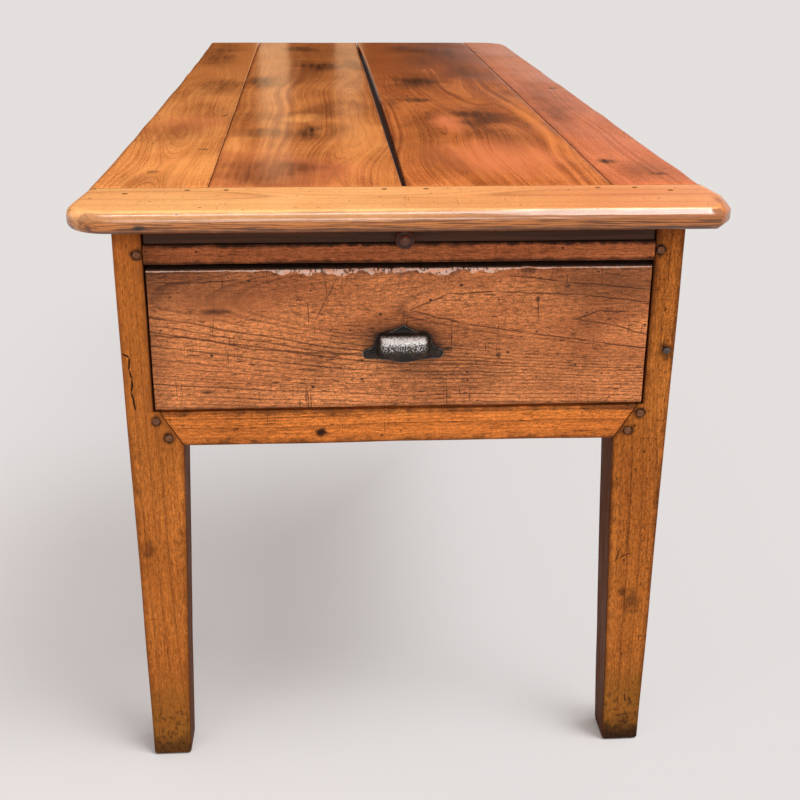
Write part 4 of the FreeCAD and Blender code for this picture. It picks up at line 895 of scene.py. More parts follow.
def leg_finish(name):
    """Leg wood: worm holes, dirt round the pegs, a dark foot, olive wear above it, and painted shade at its
    upper end and on its inner faces.
    """
    wood = Wood(name, Z, X, "leg", "leg_deep", "umber", pith=0.30, ring_spacing=0.0065, ring_depth=0.55,
                waver=0.03, fibre=0.26, pores=0.42, mottle=2.4, specks=0.6, speckle=1.5, clouds=0.25,
                scratches=0.35, edge_wear=0.6)
    n = wood.nodes
    across = n.split(wood.place)[X]
    left = n.ease(across, 0.1, -0.1)
    wood.tinge(left, "rail", 0.08)
    wood.tinge(n.times(left, wood.along(Z, 0.42, 0.52, 0.1, 12.0)), "rail", 0.14)
    # Painted shade under the top: the upper end of each leg is darker.
    wood.tinge(wood.along(Z, 0.685, 0.725, 0.03, 20.0), "umber", 0.62)
    strands = n.ease(wood.height, -0.85, -0.15, 0.25, 1.0)
    wood.tinge(n.times(wood.along(Z, 0.16, 0.02, 0.12, 16.0), strands), "olive", 0.9)
    dirt = n.streaks(wood.place, (260, 260, 130), 4.0, 0.50, 0.64)
    wood.tinge(n.times(wood.along(Z, 0.15, 0.03, 0.08, 20.0), dirt), "grime", 0.55)
    foot = wood.along(Z, 0.045, 0.008, 0.05, 60.0)
    wood.tinge(n.times(foot, n.ease(across, -0.1, 0.1, 0.7, 1.0)), "grime", 0.92)
    for crack in wood.path(LEG_CRACK, 0.0013, 0.004, 90.0):
        wood.tinge(crack, "grime", 0.95)
        wood.sink(crack, 3.0)
    for x, z, reach in LEG_DENTS:
        wood.tinge(wood.spot(on_front(x, z), (reach, FRONT_REACH, reach * 1.4), 1.3, 90.0), "stain", 0.55)
    for ends in LEG_CUTS:
        cut, = wood.path(ends, 0.0009, 0.006, 90.0)
        wood.tinge(cut, "grime", 0.85)
        wood.sink(cut, 2.0)
    # Painted shade: the faces of the legs that turn inwards are darker.
    inward = n.times(n.math("DIVIDE", across, n.math("ABSOLUTE", across)), wood.facing())
    wood.tinge(n.ease(inward, -0.4, -0.9), "umber", 0.88)
    for box in islands("front_frame_pegs"):
        x, _, z = centre_of(*box)
        wood.tinge(wood.spot(on_front(x, z), (0.0105, FRONT_REACH, 0.0105), 0.5, 160.0), "grime", 1.4)
    wood.tinge(wood.spot(on_front(*NAIL_STAIN), (0.014, FRONT_REACH, 0.017), 0.9, 90.0), "grime", 1.0)
    return wood.finish(rough=(0.42, 0.62), bump=0.5, specular=0.02)


def rail_finish(name, pale, along=X, clouds=0.15):
    """Cross rails and aprons."""
    wood = Wood(name, along, Z, pale, pale + "_deep", "umber", pith=0.12, ring_spacing=0.0055,
                ring_depth=0.5, waver=0.015, figure_width=9.0, fibre=0.26, pores=0.40, mottle=2.2, specks=0.8,
                speckle=1.3, clouds=clouds, scratches=0.35, edge_colour="grime", edge_wear=0.7)
    if pale == "upper_rail":
        # Darker along the top edge and towards the left end.
        wood.tinge(wood.along(Z, 0.7015, 0.7050, 0.012, 90.0), "grime", 0.9)
        wood.tinge(wood.along(X, -0.235, -0.300, 0.05, 30.0), "umber", 0.55)
    if name == "lower_rail_wood":
        knot = wood.spot(on_front(-0.097, 0.470), (0.010, FRONT_REACH, 0.009), 0.8, 120.0)
        wood.tinge(knot, "stain", 1.1)
    return wood.finish(rough=(0.42, 0.62), bump=0.45, specular=0.05)


# Marks across and up the drawer face: growth lines that the plain rings don't follow, scratches,
# stains with their reach, and darker upper corners with their strength
DRAWER_LINES = (((0.0095, 0.6238), (0.0551, 0.6431), (0.1125, 0.6456), (0.2129, 0.6408), (0.2992, 0.6301)),
                ((0.0095, 0.6238), (0.0751, 0.6069), (0.1532, 0.5937), (0.2322, 0.5815), (0.3001, 0.5714)),
                ((0.2089, 0.6103), (0.2375, 0.6205), (0.2689, 0.6184)),
                ((0.2089, 0.6103), (0.2544, 0.6024), (0.2987, 0.5888)),
                ((0.1232, 0.6659), (0.1888, 0.6573), (0.2979, 0.6461)),
                ((-0.2866, 0.6608), (-0.2385, 0.6602), (-0.1862, 0.6635)),
                ((-0.2985, 0.5961), (-0.2421, 0.5925), (-0.1783, 0.5782), (-0.0904, 0.5708),
                 (-0.0442, 0.5701)))
DRAWER_SCRATCHES = (((-0.0757, 0.6642), (-0.1031, 0.6113)), ((-0.2195, 0.6523), (-0.2232, 0.5930)),
                    ((-0.0900, 0.6644), (-0.0881, 0.6409)), ((-0.1102, 0.6352), (-0.1096, 0.6074)),
                    ((-0.2100, 0.6657), (-0.2098, 0.6521)), ((0.0907, 0.5639), (0.0914, 0.5536)),
                    ((0.1959, 0.6671), (0.1955, 0.6473)), ((0.1627, 0.6398), (0.1635, 0.6077)),
                    ((0.2590, 0.5120), (0.2490, 0.5030)))
DRAWER_STAINS = ((-0.234, 0.523, 0.008, 0.005), (0.117, 0.566, 0.005, 0.005), (0.162, 0.635, 0.004, 0.006),
                 (-0.219, 0.625, 0.030, 0.006))
DRAWER_CORNERS = ((-0.25, 0.40), (0.25, 0.55))

# Chewed edge of the drawer face: its height, its least depth and how much deeper it gets
CHEWED_TOP = 0.6752
CHEWED_DEPTH = (0.0012, 0.0076)


def chewed_mask(wood):
    """Masks of the torn wood along the top of the drawer face, and of the stretch where it is worst."""
    n = wood.nodes
    x, _, z = n.split(wood.place)
    torn = n.streaks(wood.place, (34, 0, 0), 5.0, 0.36, 0.62)
    worst = n.times(n.ease(x, -0.215, -0.10, 0.10, 1.0), n.ease(x, 0.085, 0.150, 1.0, 0.14))
    least, further = CHEWED_DEPTH
    depth = n.plus(n.times(n.times(torn, worst), further), least)
    lip = n.minus(z, n.minus(CHEWED_TOP, depth))
    ragged = n.times(n.wobble(wood.place, 330.0, 3.0), 0.0022)
    return n.ease(n.plus(lip, ragged), -0.0005, 0.0008), worst


def drawer_finish(name):
    """Drawer face whose rings fan out to the right."""
    wood = Wood(name, X, Z, "drawer", "drawer_deep", "umber", shift=(0, -0.6296, FRAME_FRONT), pith=0.0438,
                cone=-0.08, tilt=0.063, ring_spacing=0.017, ring_phase=0.359, ring_start=0.86,
                ring_depth=0.4, fine_spacing=0.0046, fine_depth=0.75, fine_from=0.045, bands=0.5, waver=0.013,
                figure_length=5.0, figure_width=14.0, fibre=0.30, pores=0.55, mottle=2.6, specks=0.9,
                speckle=1.6, clouds=0.42, scratches=0.8, edge_colour="grime", edge_wear=0.45)
    n = wood.nodes
    for ends in DRAWER_SCRATCHES:
        scratch, = wood.path(ends, 0.0006)
        wood.tinge(scratch, "grime", 0.8)
    deep = wood.spot(on_front(-0.215, 0.632), (0.085, FRONT_REACH, 0.034), 0.8, 40.0)
    wood.tinge(deep, "drawer_deep", 0.75)
    for points in DRAWER_LINES:
        for mark in wood.path(points, 0.0011, 0.004, 45.0):
            wood.tinge(mark, "umber", 0.8)
    # Painted shade: the upper part of the drawer face is darker, as under the overhang of the top.
    wood.tinge(wood.along(Z, 0.605, 0.668, 0.05, 12.0), "umber", 0.18)
    for x, amount in DRAWER_CORNERS:
        wood.tinge(wood.spot(on_front(x, 0.655), (0.100, FRONT_REACH, 0.045), 0.6, 30.0), "umber", amount)
    wood.tinge(wood.along(X, -0.262, -0.300, 0.03, 24.0), "umber", 0.4)
    around = wood.spot(on_front(PULL_MIDDLE, 0.581), (0.060, FRONT_REACH, 0.032), 0.5, 40.0)
    wood.tinge(around, "grime", 1.5)
    wood.tinge(wood.spot(on_front(0.055, 0.5755), (0.013, FRONT_REACH, 0.0045), 0.9, 90.0), "stain", 1.0)
    for x, z, reach_x, reach_z in DRAWER_STAINS:
        wood.tinge(wood.spot(on_front(x, z), (reach_x, FRONT_REACH, reach_z), 0.9, 130.0), "stain", 0.8)
    torn, worst = chewed_mask(wood)
    # The torn wood is pale bare wood with a painted highlight laid in it.
    wood.tinge(torn, "splinter", 0.9)
    bare = n.streaks(wood.place, (90, 200, 260), 3.0, 0.44, 0.60)
    wood.tinge(n.times(torn, bare), "drawer", 0.5)
    splits = n.streaks(wood.place, (330, 80, 190), 4.0, 0.52, 0.62)
    wood.tinge(n.times(n.times(torn, splits), worst), "grime", 0.85)
    # Painted shade: the top face of the drawer front is near black, like the gap above it.
    wood.tinge(wood.along(Z, 0.6742, CHEWED_TOP, 0.0015, 160.0), "grime", 0.95)
    return wood.finish(rough=(0.36, 0.54), bump=0.55, specular=0.18)


def plain_finish(name, along, across, pale="carcass", dark="carcass_dark"):
    """Unpolished inner wood."""
    wood = Wood(name, along, across, pale, pale, dark, pith=0.08, ring_depth=0.45, specks=0.5, edge_wear=0.0)
    return wood.finish(rough=(0.55, 0.75), bump=0.45, specular=0.25)


# Middle of the cup pull, its hood's half width and reach, and the heights of the band that hands have rubbed
# bright
# and that carries a painted highlight: in specks, then solid, then no more at its top
PULL_MIDDLE = 0.002
HOOD_ENDS = (0.0235, 0.0290)
HOOD_FRONT = (0.8765, 0.8805)
SPECKLED = (0.5770, 0.5880)
RUBBED_AND_HIGHLIT = (0.5850, 0.5906)
RUBBED_AND_HIGHLIT_TOP = (0.5920, 0.5964)


def hood_wear_and_highlight(n, place):
    """How far hands have rubbed the hood of the pull, and its painted highlight."""
    x, y, z = n.split(place)
    ends = n.ease(n.math("ABSOLUTE", n.minus(x, PULL_MIDDLE)), *HOOD_ENDS, 1.0, 0.0)
    reach = n.ease(n.times(y, -1.0), *HOOD_FRONT)
    hood = n.times(n.times(ends, reach), n.ease(z, *RUBBED_AND_HIGHLIT_TOP, 1.0, 0.0))
    speckled = n.times(hood, n.ease(z, *SPECKLED))
    solid = n.times(hood, n.ease(z, *RUBBED_AND_HIGHLIT))
    level = n.plus(n.noise(place, 720.0, 4.0), n.times(speckled, 0.05))
    level = n.plus(level, n.times(solid, 0.20))
    return n.times(n.ease(level, 0.50, 0.76), n.times(speckled, 3.0, clamp=True))


def iron_finish(name, bright=False, shade="iron"):
    """Cast or forged iron, with a painted highlight along its edges and, if bright, on the band that hands
    have rubbed.
    """
    material = bpy.data.materials.new(name)
    n = emptied(material)
    place = n.add("ShaderNodeTexCoord").outputs["Object"]
    rough = n.noise(place, 260.0, 4.0)
    film = n.ease(n.noise(place, 90.0, 4.0), 0.45, 0.68)
    base = n.mix(film, tint(shade), tint("rust"))
    # Painted highlight along the convex edges.
    edges = n.ease(n.add("ShaderNodeNewGeometry").outputs["Pointiness"], 0.52, 0.59)
    base = n.mix(n.times(edges, 0.34 if bright else 0.06), base, tint("iron_bright"))
    if bright:
        # Painted highlight on the upper band of the hood, partly real rubbed wear.
        base = n.mix(hood_wear_and_highlight(n, place), base, tint("iron_bright"))
    gloss = n.ease(rough, 0.3, 0.7, 0.30, 0.60)
    pits = n.ease(n.noise(place, 520.0, 2.0), 0.35, 0.6)
    normal = n.add("ShaderNodeBump", {"Strength": 0.6, "Distance": 0.0006,
                                      "Height": n.plus(rough, n.times(pits, 0.5))}).outputs[0]
    shader = n.add("ShaderNodeBsdfPrincipled", {"Base Color": base, "Metallic": 0.35 if bright else 0.1,
                                                "Roughness": gloss, "Specular IOR Level": 0.2,
                                                "Normal": normal})
    n.add("ShaderNodeOutputMaterial", {"Surface": shader.outputs[0]})
    return material


# Pieces


# Share of the open joint's length where it starts to close, over what share, and how far it closes
CLOSING = (0.88, 0.1, 0.85)


def board_shape(number):
    """Edges of one board of the top: leaning joints, hollow edges and a rounded far corner."""

    def shape(y, left, right, low, high):
        share = (y - JOINT_Y) / (FAR_Y - JOINT_Y)
        lines = [near + (far - near) * share for near, far in zip(JOINTS_NEAR, JOINTS_FAR)]
        hollow = np.clip(4 * share * (1 - share), 0, 1)
        start, over, closed = CLOSING
        gap = OPEN_HALF_GAP * (1 - closed * np.clip((share - start) / over, 0, 1))
        lefts = (-HALF_BOARDS + LEFT_HOLLOW * hollow, lines[0] + TIGHT_HALF_GAP,
                 lines[1] + gap + OPEN_HOLLOW * hollow, lines[2] + TIGHT_HALF_GAP)
        rights = (lines[0] - TIGHT_HALF_GAP, lines[1] - gap, lines[2] - TIGHT_HALF_GAP,
                  np.full(len(y), HALF_BOARDS))
        right = rights[number]
        if number == LAST_BOARD:
            into = np.clip(y - (FAR_Y - FAR_CORNER), 0, FAR_CORNER * 0.999)
            right = right - (FAR_CORNER - np.sqrt(FAR_CORNER ** 2 - into ** 2))
        return lefts[number], right, low, high

    return shape


def board_wear(number):
    """Outer edges of the top are rounder than its joints."""

    def wear(places, radii):
        if number == 0:
            radii[:, (0, 3)] *= sizes().outer_arris / sizes().joint_arris
        if number == LAST_BOARD:
            radii[:, (1, 2)] *= sizes().outer_arris / sizes().joint_arris
        return radii

    return wear


class TABLE_OT_top_boards(bpy.types.Operator):
    """Four polished boards of the top"""

    bl_idname = "table.top_boards"
    bl_label = "Top boards"

    def execute(self, context):
        corner = FAR_Y - FAR_CORNER * (1 - np.sin(np.radians(np.arange(0, 90, 9))))
        low = (0, JOINT_Y + CLEAR, TOP_LOW)
        high = (0, FAR_Y, TOP_Z)
        for number in range(len(BOARDS)):
            mesh = plank(f"board_{number + 1}", Y, low, high, sizes().joint_arris, ends=0.0015, cell=0.014,
                         cells=(9, 3), seed=number + 1, shape=board_shape(number), wear=board_wear(number),
                         extra=corner)
            place_piece(mesh, f"polished_board_{number + 1}", "table", board_finish(number),
                        [f"top_board_{number + 1}"])
        return {"FINISHED"}


# Steps along the breadboard's sides and front, and round its left corner
SIDE_STEPS = 8
FRONT_STEP = 0.012
CORNER_STEPS = 13

# Where its nose turns from round to flat and over what length, the steps of the nose, the rounding
# underneath, the rim of its faces and the unevenness of its wear
NOSE_TURN = (-0.10, 0.25)
NOSE_STEPS = 8
UNDER_ROUND = 0.008
RIM = 0.004
NOSE_WEAR = 0.0006


def breadboard_path():
    """Plan of the breadboard end from its left back corner round the front to its right back corner."""
    flare = BREADBOARD_FRONT_HALF
    side = np.linspace(0, 1, SIDE_STEPS)
    start = np.array([-BREADBOARD_BACK_HALF, JOINT_Y])
    arc_start = np.array([-flare, BREADBOARD_FRONT + LEFT_CORNER])
    points = [start + (arc_start - start) * share for share in side]
    for turn in np.linspace(math.pi, math.pi * 1.5, CORNER_STEPS)[1:]:
        points.append(np.array([-flare + LEFT_CORNER * (1 + math.cos(turn)),
                                BREADBOARD_FRONT + LEFT_CORNER * (1 + math.sin(turn))]))
    clip_x, clip_y, tuck = CLIP
    runs = np.arange(points[-1][0] + FRONT_STEP, flare - clip_x - FRONT_STEP / 3, FRONT_STEP)
    points += [np.array([x, BREADBOARD_FRONT]) for x in runs]
    corners = np.array([(flare - clip_x, BREADBOARD_FRONT), (flare - tuck, BREADBOARD_FRONT + clip_y),
                        (flare, BREADBOARD_FRONT + RIGHT_RUN), (BREADBOARD_BACK_HALF, JOINT_Y)])
    points += list(corners[:3])
    points += [corners[2] + (corners[3] - corners[2]) * share for share in side[1:]]
    return np.array(points)


def path_normals(path):
    """Outward direction at each point of an open plan, long enough at corners to keep the width of a rim."""
    normals = []
    for before, here, after in zip(path, path[1:], path[2:]):
        first, second = here - before, after - here
        first = np.array([first[1], -first[0]]) / np.linalg.norm(first)
        second = np.array([second[1], -second[0]]) / np.linalg.norm(second)
        middle = (first + second) / np.linalg.norm(first + second)
        normals.append(middle / max(0.4, middle @ first))
    return np.array([(-1.0, 0.0), *normals, (1.0, 0.0)])


def breadboard_mesh(name):
    """Cross board whose nose is round on the left and rubbed flat on the right."""
    path = breadboard_path()
    start, over = NOSE_TURN
    flat = np.clip((path[:, 0] - start) / over, 0, 1)[:, None]
    turn = np.linspace(0, 1, NOSE_STEPS)[None, :]
    bend = turn * QUARTER
    across, down = 1 - np.sin(bend), 1 - np.cos(bend)
    inset = sizes().nose_round * across * (1 - flat) + sizes().nose_flat * (1 - turn) * flat
    drop = sizes().nose_round * down * (1 - flat) + sizes().nose_flat * turn * flat
    ones = np.ones((len(path), 1))
    low_inset, low_rise = UNDER_ROUND * down * ones, UNDER_ROUND * across * ones
    insets = np.concatenate([inset[:, :1] + RIM, inset, inset[:, -1:],
                             low_inset, low_inset[:, -1:] + RIM], 1)
    half_way = 0.5 * (TOP_Z - drop[:, -1:] + TOP_LOW + UNDER_ROUND)
    heights = np.concatenate([TOP_Z * ones, TOP_Z - drop, half_way, TOP_LOW + low_rise, TOP_LOW * ones], 1)
    worn = np.concatenate([path, np.zeros((len(path), 1))], 1)
    insets[:, 1:-1] += NOSE_WEAR * (0.6 + soft_noise(worn, 0.03, 9))[:, None]
    points = np.empty(insets.shape + (3,))
    points[..., :2] = path[:, None] - path_normals(path)[:, None] * insets[..., None]
    points[..., 2] = heights
    points[0, :, 1] = points[-1, :, 1] = JOINT_Y
    count, size = insets.shape
    index = np.arange(count * size).reshape(count, size)
    quads = np.stack([index[:-1, :-1], index[1:, :-1], index[1:, 1:], index[:-1, 1:]], -1).reshape(-1, 4)
    faces = quads.tolist() + [index[:, 0].tolist(), index[::-1, -1].tolist(),
                              index[0].tolist() + index[-1, ::-1].tolist()]
    marks = np.zeros((count, size))
    marks[:, 1:NOSE_STEPS + 1] = 1.0
    return mesh_from(name, points.reshape(-1, 3), faces, (-1, -2, -3), marks.reshape(-1))


class TABLE_OT_breadboard(bpy.types.Operator):
    """Cross board at the drawer end of the top"""

    bl_idname = "table.breadboard"
    bl_label = "Breadboard end"

    def execute(self, context):
        place_piece(breadboard_mesh("breadboard"), "worn_breadboard", "table",
                    breadboard_finish("breadboard_wood"), ["breadboard_end"])
        return {"FINISHED"}


def leg_shape(side, front):
    """Sides of a leg: tapered inner face, mitre seat and notch for the drawer front at the drawer end."""

    def shape(z, left, right, low, high):
        down = np.clip(1 - z / RAIL_LOW, 0, 1)
        outer = LEG_OUTER - LEG_OUTER_TAPER * (1 - z / TOP_LOW)
        inner = LEG_INNER + (FOOT_INNER - LEG_INNER) * down
        if front:
            seat = LEG_INNER + MITRE_RUN * (z - RAIL_LOW) / (DRAWER_FLOOR - RAIL_LOW)
            inner = np.where(z > RAIL_LOW, seat, inner)
            inner = np.where(z > DRAWER_FLOOR, STILE_INNER, inner)
        face = np.full(len(z), FRAME_FRONT)
        back = LEG_BACK - FOOT_BACK_TAPER * down
        if not front:
            face, back = -back, np.full(len(z), FRAME_REAR)
        return (-outer, -inner, face, back) if side < 0 else (inner, outer, face, back)

    return shape


class TABLE_OT_legs(bpy.types.Operator):
    """Four tapered legs with worn feet"""

    bl_idname = "table.legs"
    bl_label = "Legs"

    def execute(self, context):
        step = 0.0001
        extra = [RAIL_LOW, DRAWER_FLOOR - step, DRAWER_FLOOR + step]
        material = leg_finish("leg_wood")
        for side, front in itertools.product((-1, 1), (True, False)):
            node = f"leg_{'front' if front else 'rear'}_{'left' if side < 0 else 'right'}"
            seed = 20 + side + 3 * front
            post = plank(node + "_post", Z, (0, 0, 0), (0, 0, TOP_LOW - FINE_CLEAR), sizes().leg_arris,
                         ends=sizes().foot_round, cell=0.011, cells=(5, 5), seed=seed, wander=1.6,
                         shape=leg_shape(side, front), extra=extra)
            meshes = [post]
            if front:
                inner, outer = LEG_INNER, STILE_INNER
                near, far = (-outer, -inner) if side < 0 else (inner, outer)
                meshes.append(plank(node + "_wedge", Z, (near, RAIL_BACK, RAIL_LOW - 0.002),
                                    (far, LEG_BACK - CLEAR, DRAWER_FLOOR - CLEAR), 0.0012, seed=seed + 9))
            place_piece(joined(node + "_mesh", meshes), "worn_" + node, "table", material, [node])
        return {"FINISHED"}


class TABLE_OT_rails(bpy.types.Operator):
    """Two cross rails of the drawer end"""

    bl_idname = "table.rails"
    bl_label = "Front rails"

    def execute(self, context):
        low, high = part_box("front_upper_rail")
        mesh = plank("upper_rail", X, (-STILE_INNER, FRAME_FRONT, low[Z]), (STILE_INNER, RAIL_BACK, high[Z]),
                     sizes().rail_arris, cells=(4, 4), seed=31)
        wood = rail_finish("upper_rail_wood", "upper_rail", clouds=0.35)
        place_piece(mesh, "worn_upper_rail", "table", wood, ["front_upper_rail"])
        half = LEG_INNER + MITRE_RUN
        rings, marks = plank_rings(X, (-half, FRAME_FRONT, RAIL_LOW),
                                   (half, RAIL_BACK, DRAWER_FLOOR - CLEAR),
                                   sizes().rail_arris * 1.6, cells=(4, 5), seed=32, wander=1.5)
        rise = (rings[..., 2] - RAIL_LOW) / (DRAWER_FLOOR - RAIL_LOW)
        rings[..., 0] *= (LEG_INNER + MITRE_RUN * rise) / half
        place_piece(skin("lower_rail", rings, marks), "worn_lower_rail", "table",
                    rail_finish("lower_rail_wood", "rail"), ["front_lower_rail"])
        return {"FINISHED"}


class TABLE_OT_aprons(bpy.types.Operator):
    """Side and rear aprons"""

    bl_idname = "table.aprons"
    bl_label = "Aprons"

    def execute(self, context):
        side_wood = rail_finish("side_apron_wood", "rail", along=Y)
        for number, name in enumerate(("side_apron_left", "side_apron_right")):
            low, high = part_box(name)
            mesh = plank(name + "_board", Y, (low[X], LEG_BACK + CLEAR, low[Z]),
                         (high[X], -LEG_BACK - CLEAR, high[Z] - CLEAR),
                         sizes().rail_arris, cells=(3, 9), cell=0.03, seed=41 + number)
            place_piece(mesh, "worn_" + name, "table", side_wood, [name])
        low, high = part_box("rear_apron")
        mesh = plank("rear_apron_board", X, (-LEG_INNER + CLEAR, low[Y], low[Z]),
                     (LEG_INNER - CLEAR, high[Y], high[Z] - CLEAR),
                     sizes().rail_arris, cells=(3, 9), cell=0.02, seed=43)
        place_piece(mesh, "worn_rear_apron", "table", rail_finish("rear_apron_wood", "rail"),
                    ["rear_apron"])
        return {"FINISHED"}


def spun_copies(n, given, out, shape, most, seed):
    """Ends a tree: the shape on each point, spun by up to some angle, made real and given its finish."""
    spin = n.add("FunctionNodeRandomValue", {"Min": (0, 0, 0), "Max": (0, 0, most), "Seed": seed},
                 data_type="FLOAT_VECTOR")
    copies = n.add("GeometryNodeInstanceOnPoints", {"Points": given["Geometry"], "Instance": shape,
                                                    "Rotation": given["Turn"]})
    turned = n.add("GeometryNodeRotateInstances", {"Instances": copies.outputs[0],
                                                   "Rotation": spin.outputs[0]})
    real = n.add("GeometryNodeRealizeInstances", {0: turned.outputs[0]})
    done = n.add("GeometryNodeSetMaterial", {"Geometry": real.outputs[0], "Material": given["Material"]})
    n.fill(out, {"Geometry": done.outputs[0]})


PEG_INPUTS = {"Geometry": "geometry", "Radius": "value", "Length": "value", "Dome": "value",
              "Turn": "vector", "Material": "material"}
PEG_SIDES = 12
PEG_UNEVEN = (0.0012, 0.0012, 0.0)


def peg_tree(name):
    """Hand-cut peg on each point: an uneven cylinder with a slightly domed end."""
    n, given, out = node_group(name, "GeometryNodeTree", PEG_INPUTS, {"Geometry": "geometry"})
    radius = given["Radius"]
    rod = n.add("GeometryNodeMeshCylinder", {"Vertices": PEG_SIDES, "Fill Segments": 3, "Radius": radius,
                                             "Depth": given["Length"]}, fill_type="TRIANGLE_FAN")
    x, y, _ = n.split(n.add("GeometryNodeInputPosition").outputs[0])
    reach = n.math("DIVIDE", n.plus(n.times(x, x), n.times(y, y)), n.times(radius, radius))
    fall = n.times(n.times(reach, given["Dome"]), -1.0)
    domed = n.add("GeometryNodeSetPosition", {"Geometry": rod.outputs["Mesh"],
                                              "Selection": rod.outputs["Top"], "Offset": n.combined(z=fall)})
    uneven = n.swirl(n.add("GeometryNodeInputPosition").outputs[0], 300.0, 1.0)
    cut = n.add("GeometryNodeSetPosition", {"Geometry": domed.outputs[0],
                                            "Offset": n.vector("MULTIPLY", uneven, PEG_UNEVEN)})
    spun_copies(n, given, out, cut.outputs[0], 6.28, 3)
    return n.tree


def fixings(name, tree, centres, values):
    """Plain mesh of a Geometry Nodes tree over some points."""
    mesh = bpy.data.meshes.new(name + "_points")
    mesh.from_pydata([list(centre) for centre in centres], [], [])
    piece = new_object(name + "_source", mesh)
    modifier = piece.modifiers.new("Pegs", "NODES")
    modifier.node_group = tree
    for item in tree.interface.items_tree:
        if item.in_out == "INPUT" and item.name in values:
            modifier[item.identifier] = values[item.name]
    piece.update_tag()
    result = evaluated(piece, name)
    result.polygons.foreach_set("use_smooth", np.zeros(len(result.polygons), bool))
    return result


# Turn of a peg whose end shows on each side of the table
PEG_TURNS = {(Y, -1): (QUARTER, 0, 0), (Y, 1): (-QUARTER, 0, 0), (X, -1): (0, -QUARTER, 0),
             (X, 1): (0, QUARTER, 0), (Z, 1): (0, 0, 0)}


def peg_mesh(name, node, dome, material):
    """Pegs of one node, each where its solid is."""
    tree = made(bpy.data.node_groups, "hand_cut_pegs", peg_tree)
    groups = {}
    for low, high in islands(node):
        size = high - low
        axis = int(np.argmax(size))
        middle = centre_of(low, high)
        sign = 1 if axis == Z or middle[axis] > 0 else -1
        groups.setdefault((axis, sign), []).append((middle, size[axis], np.delete(size, axis).mean() / 2))
    meshes = []
    for (axis, sign), pegs in groups.items():
        meshes.append(fixings(f"{name}_{axis}_{sign > 0}", tree, [peg[0] for peg in pegs],
                              {"Radius": float(pegs[0][2]), "Length": float(pegs[0][1]), "Dome": dome,
                               "Turn": PEG_TURNS[(axis, sign)], "Material": material}))
    return joined(name, meshes)


class TABLE_OT_pegs(bpy.types.Operator):
    """Hand-cut pegs of the frame and the breadboard end"""

    bl_idname = "table.pegs"
    bl_label = "Pegs"

    def execute(self, context):
        wood = plain_finish("peg_wood", Y, Z, "peg", "grime")
        dark = plain_finish("top_peg_wood", Z, Y, "olive", "grime")
        for node, dome, slot, finish in (("front_frame_pegs", 0.0004, "frame_pegs", wood),
                                         ("apron_pegs", 0.0004, "frame_pegs", wood),
                                         ("breadboard_pegs", -0.0003, "top_pegs", dark)):
            mesh = peg_mesh(node + "_cut", node, dome, finish)
            place_piece(mesh, "cut_" + node, "table", finish, [node])
        return {"FINISHED"}


# Splinters along the drawer front, large and small, as share, size and seed; where they start and ease off
SPLINTERS = ((0.8, 0.021, 3), (0.55, 0.0065, 4))
SPLINTERS_FROM = -0.225
SPLINTERS_EASE = 0.165
UPPER_FRONT_ARRIS = 3


def chewed(places, radii):
    """Splintered top edge of the drawer front, deepest at its middle and rubbed towards the right."""
    rough = 0.35
    for share, size, seed in SPLINTERS:
        rough = rough + share * line_noise(places, size, seed)
    reach = np.clip((places - SPLINTERS_FROM) / 0.02, 0, 1) * np.where(places < SPLINTERS_EASE, 1.0, 0.45)
    radii[:, UPPER_FRONT_ARRIS] += sizes().chew * np.clip(rough, 0, 1.4) * reach
    return radii


class TABLE_OT_drawer(bpy.types.Operator):
    """Drawer front with its chewed edge, and the wood of the drawer's box"""

    bl_idname = "table.drawer"
    bl_label = "Drawer"

    def execute(self, context):
        low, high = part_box("drawer_front")
        mesh = plank("drawer_face", X, (low[X] + FINE_CLEAR, low[Y], low[Z]),
                     (high[X] - FINE_CLEAR, high[Y], high[Z]),
                     sizes().drawer_arris, ends=0.0010, cell=0.0022, cells=(3, 12), seed=51, wander=1.2,
                     wear=chewed)
        place_piece(mesh, "worn_drawer_face", "drawer", drawer_finish("drawer_face_wood"),
                    ["drawer_front"])
        finish_nodes(("drawer_side_left", "drawer_side_right"), plain_finish("drawer_side_wood", Y, Z))
        finish_nodes(("drawer_back",), plain_finish("drawer_back_wood", X, Z))
        finish_nodes(("drawer_bottom_1", "drawer_bottom_2", "drawer_bottom_3"),
                     plain_finish("drawer_floor_wood", X, Y))
        finish_nodes(("drawer_nails",), made(bpy.data.materials, "nail_iron", iron_finish))
        return {"FINISHED"}


# Cells and softening of the casting, and the sizes and shares of its pits
CAST_CELL = 0.0007
SOFTENING = (0.5, 4)
PITS = ((1.0, 0.0035, 61), (0.6, 0.0016, 62))


def pull_mesh(name):
    """Cast pull: the solid's shape, softened and pitted like an old casting."""
    piece = new_object(name + "_source", node_copy("cup_pull"))
    remesh = piece.modifiers.new("Cast", "REMESH")
    remesh.mode = "VOXEL"
    remesh.voxel_size = CAST_CELL
    smooth = piece.modifiers.new("Soft", "SMOOTH")
    smooth.factor, smooth.iterations = SOFTENING
    mesh = evaluated(piece, name)
    points = np.empty(len(mesh.vertices) * 3, np.float32)
    normals = np.empty(len(mesh.vertices) * 3, np.float32)
    mesh.vertices.foreach_get("co", points)
    mesh.vertex_normals.foreach_get("vector", normals)
    points, normals = points.reshape(-1, 3), normals.reshape(-1, 3)
    grain = sum(share * soft_noise(points, size, seed) for share, size, seed in PITS)
    front = np.clip((FRAME_FRONT - 0.0012 - points[:, 1]) / 0.003, 0, 1)
    points = points + normals * (grain * front * sizes().casting_grain)[:, None]
    mesh.vertices.foreach_set("co", points.astype(np.float32).reshape(-1))
    mesh.polygons.foreach_set("use_smooth", np.ones(len(mesh.polygons), bool))
    mesh.update()
    return mesh


